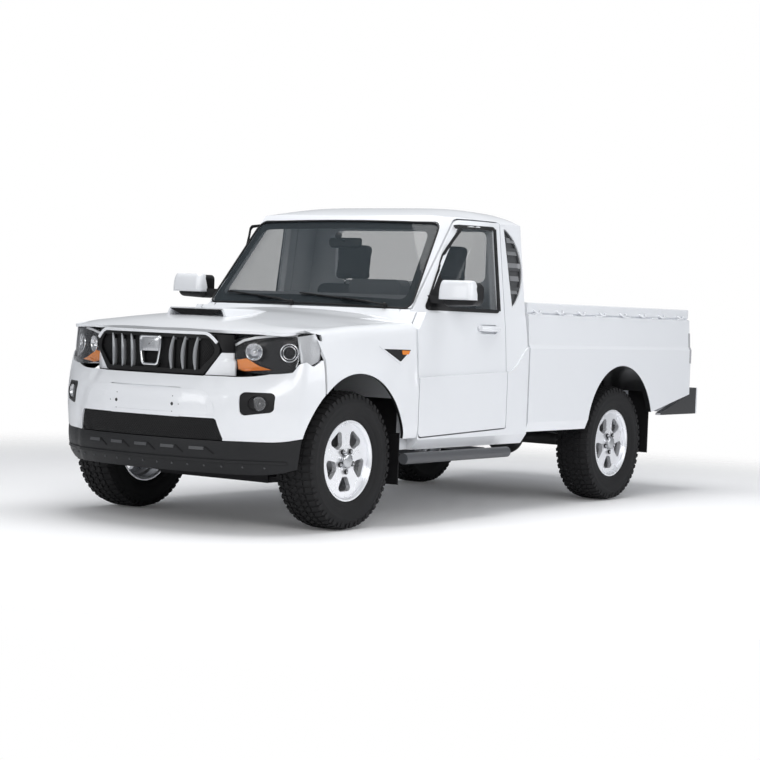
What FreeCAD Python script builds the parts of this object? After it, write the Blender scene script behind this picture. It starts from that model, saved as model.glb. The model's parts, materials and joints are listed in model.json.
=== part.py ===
# Single-cab pickup truck. X points forward, Y to the vehicle's left, Z up, in millimetres.
# The origin is on the ground, midway between the bumpers and midway between the wheels.
import FreeCAD, Part

import math
import os
import re

import Sketcher
from FreeCAD import Vector

doc = FreeCAD.newDocument("pickup")

# Driving dimensions. Every "_back" value is a distance behind the front axle, every "_ahead" value one before
# it, every "_height" value is above the ground and every "_half" value is from the middle plane.
SIZES = {
    # whole vehicle
    "overall_length": 5118, "front_overhang": 800, "wheelbase": 3040, "track": 1490, "seat_gap": 0.3,
    "overrun": 3000,
    # wheels
    "tyre_radius": 387, "tyre_width": 245, "bead_radius": 217, "shoulder_drop": 9, "tread_half": 96,
    "rim_radius": 216, "rim_width": 200, "rim_wall": 8, "rim_lip": 10, "lip_width": 9, "spoke_thick": 28,
    "spoke_inset": 22, "window_inner": 92, "window_outer": 186, "window_round": 22, "hub_radius": 74,
    "hub_length": 88, "cap_radius": 36, "cap_height": 12, "wheel_well": 14, "lug_circle": 57,
    "lug_radius": 9, "lug_height": 10, "lug_count": 5, "spoke_count": 5, "spindle_radius": 28,
    "running_fit": 0.08, "disc_radius": 140, "disc_thick": 24, "flange_radius": 66, "flange_thick": 18,
    "flange_gap": 6, "disc_gap": 34, "kingpin_half": 640, "knuckle_radius": 30, "ball_height": 128,
    "pin_radius": 14, "pin_length": 30, "eye_radius": 27, "eye_gap": 5, "arm_thick": 26,
    "caliper_length": 90, "caliper_height": 120, "steer_arm_length": 120, "steer_arm_width": 26,
    # chassis frame
    "rail_half": 362, "rail_width": 76, "rail_depth": 120, "rail_front_ahead": 590, "rail_tail": 298,
    "rail_front_height": 440, "rail_mid_height": 405, "rail_kick_height": 585,
    "frame_dip_start_back": 300, "frame_dip_back": 560, "frame_rise_back": 2250, "frame_kick_back": 2650,
    "cross_tube_radius": 22, "mount_radius": 38, "front_beam_depth": 50, "front_beam_half": 560,
    "beam_bracket_half": 330,
    # engine and driveline
    "engine_ahead": 300, "engine_length": 660, "engine_width": 460, "engine_base": 450,
    "engine_depth": 520, "engine_mount_thick": 40, "engine_mount_height": 490, "gearbox_length": 700,
    "gearbox_width": 250, "gearbox_clearance": 6, "propshaft_radius": 34,
    # rear axle and springs
    "axle_tube_radius": 42, "differential_radius": 132, "differential_width": 220, "drum_radius": 145,
    "drum_width": 60, "spring_half": 525, "spring_width": 62, "spring_thick": 42, "spring_reach": 620,
    "spring_eye_height": 548, "spring_eye_radius": 26,
    # front suspension
    "arm_root_half_length": 150, "arm_tip_half_length": 27, "subframe_base": 236, "subframe_depth": 94,
    "subframe_half_length": 150, "subframe_post": 60,
    # cab
    "body_half": 908, "crease_step": 12, "belt_half": 868, "belt_height": 1232, "belt_ledge_height": 1226,
    "sill_height": 430, "sill_inner_half": 700, "sill_tuck": 40, "sill_tuck_height": 60,
    "cab_floor_height": 600, "cab_floor_thick": 40, "cab_front_back": 470, "cab_rear_back": 1800,
    "firewall_thick": 50, "cab_wall": 55, "roof_wall": 38, "rear_wall": 45, "screen_wall": 48,
    "cowl_wall": 40, "crease_front_height": 846, "crease_rear_height": 880, "crease_end_height": 1020,
    "crease_turn_back": 1590, "drip_half": 806, "drip_height": 1786, "roof_height": 1880,
    "cab_post_half": 836, "cab_top_height": 2000, "cowl_height": 1130, "screen_base_back": 605,
    "screen_base_height": 1240, "screen_top_back": 1040, "screen_top_height": 1775, "screen_sag": 69,
    "screen_top_sag": 48, "screen_side_half": 762, "screen_top_half": 687, "screen_wrap": 330,
    "screen_glass": 5, "screen_corner": 55, "glass_inset": 3, "rear_glass_half": 590,
    "rear_glass_base": 1425, "rear_glass_top": 1748, "rear_glass_corner": 45,
    # doors
    "door_front_back": 590, "door_shoulder_back": 690, "door_rear_back": 1550, "door_base": 505,
    "door_top": 1790, "door_top_back": 1175, "door_shoulder_height": 1240, "shut_gap": 8,
    "door_corner": 30, "window_front_back": 772, "window_rear_back": 1480, "window_base": 1247,
    "window_top": 1752, "window_top_back": 1176, "pane_inset": 12, "pane_thick": 4, "window_corner": 30,
    "sail_back": 945, "handle_length": 236, "handle_height": 56, "handle_depth": 24,
    "handle_centre_back": 1360, "handle_centre_height": 1136, "handle_dish": 16, "hinge_back": 602,
    "hinge_inset": 11, "hinge_pin_radius": 3, "hinge_leaf": 10, "hinge_pocket": 50,
    "hinge_ring_radius": 7, "hinge_low_height": 610, "hinge_pitch": 170,
    # louvre in the rear quarter
    "louvre_front_back": 1600, "louvre_rear_back": 1782, "louvre_base": 1275, "louvre_top": 1760,
    "louvre_depth": 24, "louvre_slat": 20, "louvre_slats": 3, "louvre_frame": 14, "louvre_plate": 6,
    # mirrors
    "mirror_back": 790, "mirror_inner_half": 905, "mirror_outer_half": 1130, "mirror_base": 1266,
    "mirror_height": 150, "mirror_depth": 100, "mirror_corner": 30, "mirror_arm": 46,
    # bonnet
    "bonnet_front_ahead": 672, "bonnet_rear_back": 558, "bonnet_rear_sweep": 44, "bonnet_half": 797,
    "bonnet_thick": 16, "cowl_rise": 8, "bonnet_lip_height": 1092, "bonnet_nose_height": 1128,
    "bonnet_lip": 30, "bonnet_mid_height": 1193, "bonnet_rear_height": 1226, "bonnet_crown": 56,
    "bonnet_corner_ahead": 400, "bonnet_brow_ahead": 545, "bonnet_brow_half": 687,
    "bonnet_hinge_back": 563, "bonnet_hinge_height": 1184, "bonnet_hinge_half": 380,
    "bonnet_hinge_length": 50, "bonnet_hinge_radius": 6, "bonnet_pin_radius": 3, "moving_gap": 5,
    "bonnet_room": 7, "scoop_ahead": 345, "scoop_half": 232, "scoop_top_half": 196, "scoop_height": 1207,
    "scoop_tail_back": 150, "scoop_wall": 12, "scoop_tail_half": 150, "scoop_mouth": 110,
    # wings
    "wing_thick": 18, "wing_gap": 8, "wing_front_ahead": 298, "wing_tip_ahead": 380,
    "wing_rear_back": 580, "wing_shoulder_half": 868, "wing_bottom_height": 500, "arch_radius": 455,
    "arch_centre_height": 420, "apron_half": 385, "apron_thick": 15, "apron_top": 1052, "shelf_thick": 14,
    "radiator_ahead": 470, "radiator_thick": 50, "radiator_half": 560, "radiator_top": 1035,
    "radiator_shoulder_height": 850,
    # front bumper and lamps
    "nose_ahead": 792, "bumper_thick": 20, "bumper_side_ahead": 306, "bumper_split_height": 500,
    "bumper_arch_height": 532, "bumper_full_height": 700, "bumper_nose_step": 70,
    "bumper_top_height": 842, "shield_step": 12, "shield_run": 30, "valance_thick": 22,
    "valance_base_height": 318, "valance_side_height": 372, "valance_under": 60, "valance_gap": 4,
    "grille_base": 848, "grille_top": 1066, "grille_top_half": 405, "grille_shoulder_half": 450,
    "grille_shoulder_height": 975, "grille_foot_half": 350, "grille_ahead": 716, "grille_edge_ahead": 655,
    "grille_frame": 24, "grille_depth": 46, "mesh_depth": 10, "mesh_inset": 22, "blade_width": 20,
    "blade_count": 3, "shield_half": 72, "shield_height": 168, "shield_frame": 14, "intake_base": 488,
    "intake_top": 618, "intake_half": 522, "intake_top_half": 480, "intake_corner": 20, "plate_base": 640,
    "plate_top": 775, "plate_half": 262, "plate_recess": 8, "lamp_inner_half": 458,
    "lamp_tip_height": 945, "lamp_top": 1092, "lamp_proud": 12, "lamp_inner_ahead": 600,
    "lamp_rear_half": 862, "lamp_rear_ahead": 320, "lamp_thick": 90, "fog_inner_half": 600,
    "fog_outer_half": 752, "fog_base": 636, "fog_top": 765, "fog_depth": 26, "fog_corner": 26,
    "fog_lens_radius": 44,
    # load bed
    "bed_front_back": 1818, "bed_tail": 256, "bed_inner_half": 760, "bed_floor_height": 766,
    "bed_floor_thick": 30, "bed_skin": 26, "bed_rail_height": 1312, "bed_rail_lip": 1252,
    "bed_rail_half": 872, "bed_rail_inner_half": 752, "bed_rail_depth": 34, "bed_shoulder_height": 1236,
    "bed_shoulder_half": 884, "bed_base_height": 500, "bed_tail_height": 708, "bed_tail_run": 642,
    "bed_tail_start_height": 580, "bed_crease_height": 1048, "bed_front_wall": 40,
    "rear_arch_radius": 462, "rear_arch_height": 452, "wheelhouse_inner_half": 556, "wheelhouse_wall": 18,
    "hook_first": 112, "hook_last": 142, "hook_count": 6, "hook_bar": 6, "hook_length": 86,
    "hook_stand": 16, "bed_mount_first_back": 2010, "bed_mount_pitch": 830, "bed_mount_count": 3,
    "tailgate_thick": 40, "tailgate_half": 745, "tailgate_base": 784, "tailgate_top": 1300,
    "tailgate_hinge_inset": 17, "tailgate_hinge_height": 802, "tailgate_panel": 8, "tailgate_handle": 70,
    "tail_lamp_base": 930, "tail_lamp_top": 1145, "tail_lamp_depth": 22, "tail_lamp_width": 84,
    "rear_sill_depth": 60,
    # rear bumper, steps, flaps
    "bumper_rear_base": 566, "bumper_rear_top": 752, "bumper_rear_depth": 128, "bumper_rear_half": 700,
    "bumper_rear_sweep": 40, "bumper_cap_half": 890, "bumper_cap_thick": 40, "bumper_cap_run": 402,
    "bumper_step_drop": 26, "step_radius": 32, "step_half": 925, "step_height": 388,
    "step_front_back": 420, "step_rear_back": 1545, "step_arm_radius": 15, "step_arm_height": 410,
    "step_arm_first_back": 640, "step_arm_pitch": 640, "flap_thick": 8, "flap_inner_half": 700,
    "flap_outer_half": 862, "front_flap_base": 232, "front_flap_top": 530, "rear_flap_base": 305,
    "rear_flap_back": 3535,
    # tank, exhaust, spare
    "tank_length": 780, "tank_width": 230, "tank_depth": 150, "tank_base": 436, "tank_front_back": 1000,
    "tank_corner": 40, "exhaust_radius": 26, "silencer_radius": 74, "silencer_length": 480,
    "silencer_front_back": 1345, "tail_pipe_length": 560, "pipe_hanger_radius": 7, "exhaust_half": 520,
    "exhaust_height": 480, "spare_run": 422, "spare_hanger_radius": 20, "spare_rise": 1.7,
    # interior
    "seat_width": 500, "seat_half": 370, "seat_base": 790, "cushion_thick": 140, "seat_front_back": 1110,
    "cushion_length": 470, "seat_back_thick": 110, "seat_back_top": 1420, "headrest_top": 1660,
    "headrest_thick": 90, "headrest_width": 250, "seat_round": 34, "seat_plinth_inset": 60,
    "seat_recline": 120, "dash_half": 760, "dash_top": 1345, "dash_base": 940, "dash_rear_back": 965,
    "wheel_hub_half": 370, "wheel_hub_back": 1065, "wheel_hub_height": 1218, "steering_radius": 185,
    "steering_rim": 14, "steering_boss": 52, "steering_boss_depth": 36, "column_radius": 34,
    "column_tilt_rise": 0.47, "column_gap": 6, "steering_shaft_radius": 10, "steering_shaft_length": 40,
    "binnacle_half_width": 190, "binnacle_height": 70,
}

sheet = doc.addObject("Spreadsheet::Sheet", "Sizes")
for row, (alias, value) in enumerate(SIZES.items(), start=1):
    sheet.set(f"A{row}", str(value))
    sheet.setAlias(f"A{row}", alias)
doc.recompute()


class Dimensions:
    """The sheet's cells as plain numbers, for the shapes made with Part's functions."""


d = Dimensions()
for alias in SIZES:
    setattr(d, alias, float(sheet.get(alias)))

FRONT_AXLE = "(overall_length / 2 - front_overhang)"
REAR_AXLE = f"({FRONT_AXLE} - wheelbase)"
front_axle_x = d.overall_length / 2 - d.front_overhang
rear_axle_x = front_axle_x - d.wheelbase
half_track = d.track / 2
bed_rear_back = d.overall_length - d.front_overhang - d.bed_tail
RAIL_REAR = "(overall_length - front_overhang - rail_tail)"
LEFT, RIGHT = 1, -1
NODES = []


def back(distance):
    """X of a point that far behind the front axle."""
    return front_axle_x - distance


def ahead(distance):
    """X of a point that far before the front axle."""
    return front_axle_x + distance


def link(expression):
    """Turns the sizes named in an expression into references to the sheet."""
    return re.sub(r"[a-z_]+\b", lambda m: f"Sizes.{m.group(0)}" if m.group(0) in SIZES else m.group(0),
                  expression)


def bind(item, **properties):
    """Ties properties of an object to expressions of the sheet."""
    for name, expression in properties.items():
        item.setExpression(name.replace("__", "."), link(expression))
    return item


def place(item, x="0", y="0", z="0"):
    """Ties an object's place to expressions of the sheet."""
    return bind(item, Placement__Base__x=x, Placement__Base__y=y, Placement__Base__z=z)


def box(name, length, width, height, x, y, z):
    """A block whose lowest corner lies at x, y, z."""
    item = doc.addObject("Part::Box", name)
    bind(item, Length=length, Width=width, Height=height)
    return place(item, x, y, z)


def cylinder(name, radius, height, x, y, z, axis="z"):
    """A cylinder that starts at x, y, z and runs along an axis."""
    item = doc.addObject("Part::Cylinder", name)
    bind(item, Radius=radius, Height=height)
    turns = {"z": (Vector(0, 0, 1), 0), "y": (Vector(1, 0, 0), -90), "x": (Vector(0, 1, 0), 90)}
    item.Placement = FreeCAD.Placement(Vector(0, 0, 0), FreeCAD.Rotation(*turns[axis]))
    return place(item, x, y, z)


def sketch_on(body, name, role, corners, offset):
    """A closed sketch of straight lines whose corners are bound to expressions of the sheet."""
    sketch = body.newObject("Sketcher::SketchObject", name)
    plane = [f for f in body.Origin.OriginFeatures if f.Role == role][0]
    sketch.AttachmentSupport = (plane, [""])
    sketch.MapMode = "FlatFace"
    bind(sketch, AttachmentOffset__Base__z=offset)
    count = len(corners)
    for i in range(count):
        sketch.addGeometry(Part.LineSegment(Vector(i, i * i, 0), Vector(i + 1, (i + 1) ** 2, 0)), False)
    for i in range(count):
        sketch.addConstraint(Sketcher.Constraint("Coincident", i, 2, (i + 1) % count, 1))
    for i, (across, up) in enumerate(corners):
        for kind, expression in (("DistanceX", across), ("DistanceY", up)):
            index = sketch.addConstraint(Sketcher.Constraint(kind, -1, 1, i, 1, 1.0 + i))
            sketch.setExpression(f"Constraints[{index}]", link(expression))
    return sketch


def padded_body(name, role, corners, length, offset="0"):
    """A body of one sketch padded to both sides of its plane."""
    body = doc.addObject("PartDesign::Body", name)
    sketch = sketch_on(body, name + "_sketch", role, corners, offset)
    pad = body.newObject("PartDesign::Pad", name + "_pad")
    pad.Profile = sketch
    pad.Midplane = True
    bind(pad, Length=length)
    body.Tip = pad
    doc.recompute()
    return body


def mirrored(item):
    """The same piece on the vehicle's other side."""
    twin = doc.addObject("Part::Mirroring", item.Name + "_mirror")
    twin.Source = item
    twin.Normal = Vector(0, 1, 0)
    return twin


def fused(name, *items):
    whole = doc.addObject("Part::MultiFuse", name)
    whole.Shapes = list(items)
    return whole


def together(name, *items):
    whole = doc.addObject("Part::Compound", name)
    whole.Links = list(items)
    return whole


def node(item, label):
    """Marks an object as a sub-part with a name of its own."""
    item.Label = label
    NODES.append(item)
    return item


def shaped(label, shape):
    """A sub-part whose shape is made with Part's own functions."""
    item = doc.addObject("Part::Feature", label)
    item.Shape = shape
    return node(item, label)


def flipped(shape):
    """The same shape on the vehicle's other side."""
    return shape.mirror(Vector(0, 0, 0), Vector(0, 1, 0))


def both(shape):
    return Part.Compound([shape, flipped(shape)])


def block(x_low, x_high, y_low, y_high, z_low, z_high):
    return Part.makeBox(x_high - x_low, y_high - y_low, z_high - z_low, Vector(x_low, y_low, z_low))


def on_plane(plane, across, up, level):
    """A point of a side (XZ), front (YZ) or top (XY) plane that stands at a level."""
    spots = {"side": (across, level, up), "front": (level, across, up), "top": (across, up, level)}
    return Vector(*spots[plane])


def outline(points, plane, level):
    """A closed wire through corners (across, up) or (across, up, radius), with arcs at the rounded ones."""
    corners = [on_plane(plane, p[0], p[1], level) for p in points]
    radii = [p[2] if len(p) > 2 else 0 for p in points]
    ends = []
    arcs = []
    for i, corner in enumerate(corners):
        if radii[i] <= 0:
            ends.append((corner, corner))
            arcs.append(None)
            continue
        before = (corners[i - 1] - corner).normalize()
        after = (corners[(i + 1) % len(corners)] - corner).normalize()
        half = before.getAngle(after) / 2
        start = corner + before * (radii[i] / math.tan(half))
        end = corner + after * (radii[i] / math.tan(half))
        middle = corner + (before + after).normalize() * (radii[i] / math.sin(half) - radii[i])
        ends.append((start, end))
        arcs.append(Part.Arc(start, middle, end).toShape())
    edges = []
    for i, arc in enumerate(arcs):
        if arc:
            edges.append(arc)
        start, end = ends[i][1], ends[(i + 1) % len(ends)][0]
        if (end - start).Length > d.running_fit / 10:
            edges.append(Part.makeLine(start, end))
    return Part.Wire(Part.__sortEdges__(edges))


def prism(points, plane, low, high):
    """A solid of an outline between two levels of its plane."""
    return Part.Face(outline(points, plane, low)).extrude(on_plane(plane, 0, 0, high - low))


def along(table, value):
    """Straight-line value of a table of (place, value) pairs."""
    if value <= table[0][0]:
        return table[0][1]
    for (low, first), (high, last) in zip(table, table[1:]):
        if value <= high:
            return first + (last - first) * (value - low) / (high - low)
    return table[-1][1]


def blend(share):
    """Rises smoothly from 0 to 1 while the share does."""
    share = min(1.0, max(0.0, share))
    return share * share * (3 - 2 * share)


def steps(low, high, count):
    """Evenly spaced values from low to high, both included."""
    return [low + (high - low) * i / (count - 1) for i in range(count)]


def surface_through(rows):
    surface = Part.BSplineSurface()
    surface.interpolate(rows)
    return surface.toShape()


def inward(rows, depth):
    """The same grid of points, moved against its own normals."""
    moved = []
    for i, row in enumerate(rows):
        line = []
        for j, point in enumerate(row):
            across = rows[min(i + 1, len(rows) - 1)][j] - rows[max(i - 1, 0)][j]
            up = row[min(j + 1, len(row) - 1)] - row[max(j - 1, 0)]
            line.append(point - across.cross(up).normalize() * depth)
        moved.append(line)
    return moved


def edge_between(face, start, end):
    """The edge of a face that joins two of its corners."""
    best = min(face.Edges, key=lambda e: min(
        (e.Vertexes[0].Point - start).Length + (e.Vertexes[-1].Point - end).Length,
        (e.Vertexes[0].Point - end).Length + (e.Vertexes[-1].Point - start).Length))
    return best


def thick_panel(rows, depth):
    """A closed panel whose outer face passes through rows of points and whose inner face lies depth inside."""
    inner_rows = inward(rows, depth)
    outer, inner = surface_through(rows), surface_through(inner_rows)
    faces = [outer, inner]
    for ends in (lambda g: (g[0][0], g[0][-1]), lambda g: (g[-1][0], g[-1][-1]),
                 lambda g: (g[0][0], g[-1][0]), lambda g: (g[0][-1], g[-1][-1])):
        faces.append(Part.makeRuledSurface(edge_between(outer, *ends(rows)),
                                           edge_between(inner, *ends(inner_rows))))
    shell = Part.Compound(faces)
    shell.sewShape()
    solid = Part.Solid(Part.Shell(shell.Faces))
    solid.fix(d.running_fit / 10, d.running_fit / 10, d.running_fit)
    if solid.Volume < 0:
        solid.reverse()
    return solid


def largest(shape):
    """The largest solid of a shape that a cut left in pieces."""
    return max(shape.Solids, key=lambda s: s.Volume)


# Chassis frame: two rails that rise over the rear axle, cross tubes, body mounts and the beam behind the bumper.
def rail_corners():
    low = [("rail_front_ahead", "rail_front_height", 1), ("frame_dip_start_back", "rail_front_height", -1),
           ("frame_dip_back", "rail_mid_height", -1), ("frame_rise_back", "rail_mid_height", -1),
           ("frame_kick_back", "rail_kick_height", -1), (RAIL_REAR, "rail_kick_height", -1)]
    bottom = [(f"{FRONT_AXLE} + {side} * {x}", z) for x, z, side in low]
    return bottom + [(x, f"{z} + rail_depth") for x, z in reversed(bottom)]


def cross_tube(index, back_name, height):
    return cylinder(f"cross_tube_{index}", "cross_tube_radius", "2 * rail_half - rail_width",
                    f"{FRONT_AXLE} - {back_name}", "rail_width / 2 - rail_half", height, axis="y")


rail = padded_body("rail", "XZ_Plane", rail_corners(), "rail_width", "rail_half")
kick_tube_height = "rail_kick_height + rail_depth / 2"
frame_parts = [rail, mirrored(rail),
               cross_tube(1, "(engine_length - engine_ahead + gearbox_length * 0.7)",
                          "rail_mid_height + cross_tube_radius"),
               cross_tube(2, "frame_rise_back", "rail_mid_height + rail_depth - cross_tube_radius"),
               cross_tube(3, "(frame_kick_back + mount_radius)", kick_tube_height),
               cross_tube(4, f"({RAIL_REAR} - spare_hanger_radius - cross_tube_radius * 2)",
                          kick_tube_height),
               box("front_beam", "front_beam_depth", "2 * front_beam_half", "rail_depth",
                   f"{FRONT_AXLE} + rail_front_ahead", "-front_beam_half", "rail_front_height")]
for side in (LEFT, RIGHT):
    for index, spot in enumerate(("cab_front_back + cab_wall + mount_radius",
                                  "cab_rear_back - rail_width * 2")):
        frame_parts.append(cylinder(f"cab_mount_{index}_{'l' if side > 0 else 'r'}", "mount_radius",
                                    "cab_floor_height - rail_mid_height - rail_depth - seat_gap",
                                    f"{FRONT_AXLE} - ({spot} + frame_dip_back * {1 - index} / 4)",
                                    f"{side} * rail_half", "rail_mid_height + rail_depth"))
    for index in range(int(d.bed_mount_count)):
        low = "rail_mid_height" if index == 0 else "rail_kick_height"
        frame_parts.append(cylinder(f"bed_mount_{index}_{'l' if side > 0 else 'r'}", "mount_radius",
                                    f"bed_floor_height - bed_floor_thick - {low} - rail_depth - seat_gap",
                                    f"{FRONT_AXLE} - bed_mount_first_back - {index} * bed_mount_pitch",
                                    f"{side} * rail_half", f"{low} + rail_depth"))
    frame_parts.append(box(f"bumper_bracket_{'l' if side > 0 else 'r'}",
                           f"{FRONT_AXLE} - {RAIL_REAR} + rail_width + overall_length / 2"
                           " - bumper_rear_depth - bumper_rear_sweep",
                           "rail_width / 2", "rail_depth / 2",
                           "-overall_length / 2 + bumper_rear_depth + bumper_rear_sweep + seat_gap",
                           f"{side} * rail_half - rail_width / 4", "rail_kick_height + rail_depth / 4"))
node(fused("chassis", *frame_parts), "chassis_frame")

# Engine and gearbox, plain blocks at their real places on two mounts and the gearbox's cross tube
gearbox_base = "rail_mid_height + 2 * cross_tube_radius + seat_gap"
engine_parts = [box("engine", "engine_length", "engine_width", "engine_depth",
                    f"{FRONT_AXLE} + engine_ahead - engine_length", "-engine_width / 2", "engine_base"),
                box("engine_mounts", "engine_mount_thick", "2 * rail_half - rail_width - 2 * seat_gap",
                    "engine_mount_thick", f"{FRONT_AXLE} + engine_ahead / 2",
                    "rail_width / 2 - rail_half + seat_gap", "engine_mount_height"),
                box("gearbox", "gearbox_length", "gearbox_width",
                    f"cab_floor_height - gearbox_clearance - ({gearbox_base})",
                    f"{FRONT_AXLE} + engine_ahead - engine_length - gearbox_length", "-gearbox_width / 2",
                    gearbox_base)]
node(fused("engine_and_gearbox", *engine_parts), "engine_block")


# Cab: one closed outer volume, from which the shell, the doors and the glass are cut
def screen_side_back(height):
    """Distance behind the front axle of the windscreen's side edge at a height."""
    rise = (height - d.screen_base_height) / (d.screen_top_height - d.screen_base_height)
    low = d.screen_base_back + d.screen_sag
    return low + (d.screen_top_back + d.screen_top_sag - low) * rise


def screen_rows(setback):
    """Rows of points across the windscreen's surface, moved back by a setback."""
    rows = []
    for height in (d.cowl_height - d.cowl_wall, d.screen_base_height, d.screen_top_height, d.cab_top_height):
        rise = (height - d.screen_base_height) / (d.screen_top_height - d.screen_base_height)
        middle = d.screen_base_back + (d.screen_top_back - d.screen_base_back) * rise
        sag = d.screen_sag + (d.screen_top_sag - d.screen_sag) * rise
        half = d.screen_side_half + (d.screen_top_half - d.screen_side_half) * rise
        rows.append([Vector(back(middle + sag * (y / half) ** 2 + setback), y, height)
                     for y in steps(-d.body_half * 1.1, d.body_half * 1.1, 9)])
    return rows


def before_screen(setback, floor):
    """Everything before the windscreen's surface and above a floor."""
    front = surface_through(screen_rows(setback)).extrude(Vector(d.overrun, 0, 0))
    return front.cut(block(-d.overrun, 2 * d.overrun, -d.overrun, d.overrun, 0, floor))


def side_half(distance, height):
    """Half the width of the glasshouse at a distance behind the front axle and a height."""
    rise = (height - d.belt_height) / (d.drip_height - d.belt_height)
    full = d.belt_half + (d.drip_half - d.belt_half) * rise
    slope = (height - d.screen_base_height) / (d.screen_top_height - d.screen_base_height)
    at_glass = d.screen_side_half + (d.screen_top_half - d.screen_side_half) * slope
    share = max(-1.0, min(1.0, (distance - screen_side_back(height)) / d.screen_wrap))
    return at_glass + (full - at_glass) * math.sin(share * math.pi / 2)


def beside_glasshouse(inset):
    """Everything outside the left side of the glasshouse, moved inward by an inset, above the belt."""
    rows = []
    for height in steps(d.belt_ledge_height, d.cab_top_height, 6):
        start = screen_side_back(height)
        rows.append([Vector(back(distance), side_half(distance, height) - inset, height)
                     for distance in steps(start - d.screen_wrap / 2, d.cab_rear_back + d.screen_wrap, 16)])
    return surface_through(rows).extrude(Vector(0, d.overrun, 0))


CREASE_STATION_SHARES = (-0.3, 0, 0.25, 0.5, 0.75, 0.9, 1.0, 1.1)


def crease_height(distance):
    """Height of the crease along the cab's side, which rises behind the door."""
    level = along([(d.cab_front_back, d.crease_front_height), (d.door_rear_back, d.crease_rear_height)],
                  distance)
    share = blend((distance - d.crease_turn_back) / (d.cab_rear_back - d.crease_turn_back))
    return level + (d.crease_end_height - level) * share


def beside_shoulder(inset):
    """Everything outside the left side between the crease and the belt, moved inward by an inset."""
    columns = []
    for distance in steps(d.cab_front_back - d.overrun / 30, d.cab_rear_back + d.cab_wall, 16):
        low = crease_height(distance)
        column = []
        for share in (0, 0.5, 1):
            height = low + (d.belt_height + d.shut_gap - low) * share
            half = d.body_half - d.crease_step - (d.body_half - d.crease_step - d.belt_half) * share ** 1.3
            column.append(Vector(back(distance), half - inset, height))
        columns.append(column)
    return surface_through(columns).extrude(Vector(0, d.overrun, 0))


def section(inset, base):
    """The cab's cross-section up to the cab's top, as an outline across and up."""
    foot = d.body_half - d.sill_tuck
    right = [(d.sill_inner_half, d.cab_floor_height), (d.sill_inner_half, base), (foot - inset, base),
             (d.body_half - inset, base + d.sill_tuck_height), (d.body_half - inset, d.cab_top_height)]
    return right + [(-across, up) for across, up in reversed(right)]


ROOF_STATION_SHARES = (0, 0.12, 0.28, 0.45, 0.62, 0.8, 0.93, 1.0)
ROOF_RISE_SHARES = (0, 0.34, 0.66, 0.89, 1.0, 0.985, 0.9, 0.62)
ROOF_SIDE_SHARES = (-1.1, -1.02, -0.95, -0.85, -0.7, -0.5, -0.25, 0, 0.25, 0.5, 0.7, 0.85, 0.95, 1.02, 1.1)


def above_roof(drop):
    """Everything above the roof's surface, lowered by a drop."""
    front = d.screen_top_back - d.screen_sag
    rows = []
    for station, rise in zip(ROOF_STATION_SHARES, ROOF_RISE_SHARES):
        distance = front + (d.cab_rear_back + d.cab_wall - front) * station
        low = d.screen_top_height
        height = low + (d.roof_height - low) * rise
        row = []
        for share in ROOF_SIDE_SHARES:
            fall = (height - d.drip_height) * abs(share) ** 5 if height > d.drip_height else 0
            row.append(Vector(back(distance), share * d.drip_half, height - fall - drop))
        rows.append(row)
    return surface_through(rows).extrude(Vector(0, 0, d.overrun))


def cab_volume(inset, front, rear, base, roof_drop, screen_setback, cowl_floor):
    """The cab's closed volume, inset by the walls' thicknesses."""
    volume = prism(section(inset, base), "front", back(rear), back(front))
    for cutter in (beside_shoulder(inset), beside_glasshouse(inset)):
        volume = volume.cut(cutter).cut(flipped(cutter))
    return volume.cut(above_roof(roof_drop)).cut(before_screen(screen_setback, cowl_floor))


def door_outline(grow):
    """The door's outline in side view, grown all round."""
    front, rear = back(d.door_front_back) + grow, back(d.door_rear_back) - grow
    base, top = d.door_base - grow, d.door_top + grow
    return [(front, base, d.door_corner), (front, d.door_shoulder_height, d.door_corner),
            (back(d.door_shoulder_back) + grow, d.door_shoulder_height + grow),
            (back(d.door_top_back) + grow, top, d.door_corner * 2), (rear, top, d.door_corner / 2),
            (rear, base + d.door_corner, d.door_corner / 2)]


def window_outline(shrink):
    """The door window's outline in side view, shrunk all round."""
    return [(back(d.window_front_back) - shrink * 2, d.window_base + shrink),
            (back(d.window_rear_back) + shrink, d.window_base + shrink, d.window_corner / 3),
            (back(d.window_rear_back) + shrink, d.window_top - shrink, d.window_corner / 3),
            (back(d.window_top_back) - shrink, d.window_top - shrink, d.window_corner * 2)]


outer = cab_volume(0, d.cab_front_back, d.cab_rear_back, d.sill_height, 0, 0, d.cowl_height)
for side in (LEFT, RIGHT):
    post = block(back(d.wing_rear_back), back(d.cab_front_back) + d.overrun, d.cab_post_half, d.overrun,
                 0, d.overrun)
    outer = outer.cut(post if side > 0 else flipped(post))
inner_front = d.cab_front_back + d.firewall_thick
inner = cab_volume(d.cab_wall, inner_front, d.cab_rear_back - d.rear_wall, d.sill_height, d.roof_wall,
                   d.screen_wall, d.cowl_height - d.cowl_wall)
inner = inner.cut(block(-d.overrun, d.overrun, -d.overrun, d.overrun, 0,
                        d.cab_floor_height + d.cab_floor_thick))


SIDE_SPACES = {}


def inside_wall(inset):
    """The whole space inside the side walls, at every height, for the inner faces of the doors."""
    if inset in SIDE_SPACES:
        return SIDE_SPACES[inset]
    volume = prism([(across, up) for across, up in (
        (-d.body_half + inset, 0), (d.body_half - inset, 0), (d.body_half - inset, d.cab_top_height),
        (-d.body_half + inset, d.cab_top_height))], "front", back(d.cab_rear_back), back(d.cab_front_back))
    for cutter in (beside_shoulder(inset), beside_glasshouse(inset)):
        volume = volume.cut(cutter).cut(flipped(cutter))
    SIDE_SPACES[inset] = volume
    return volume


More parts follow.
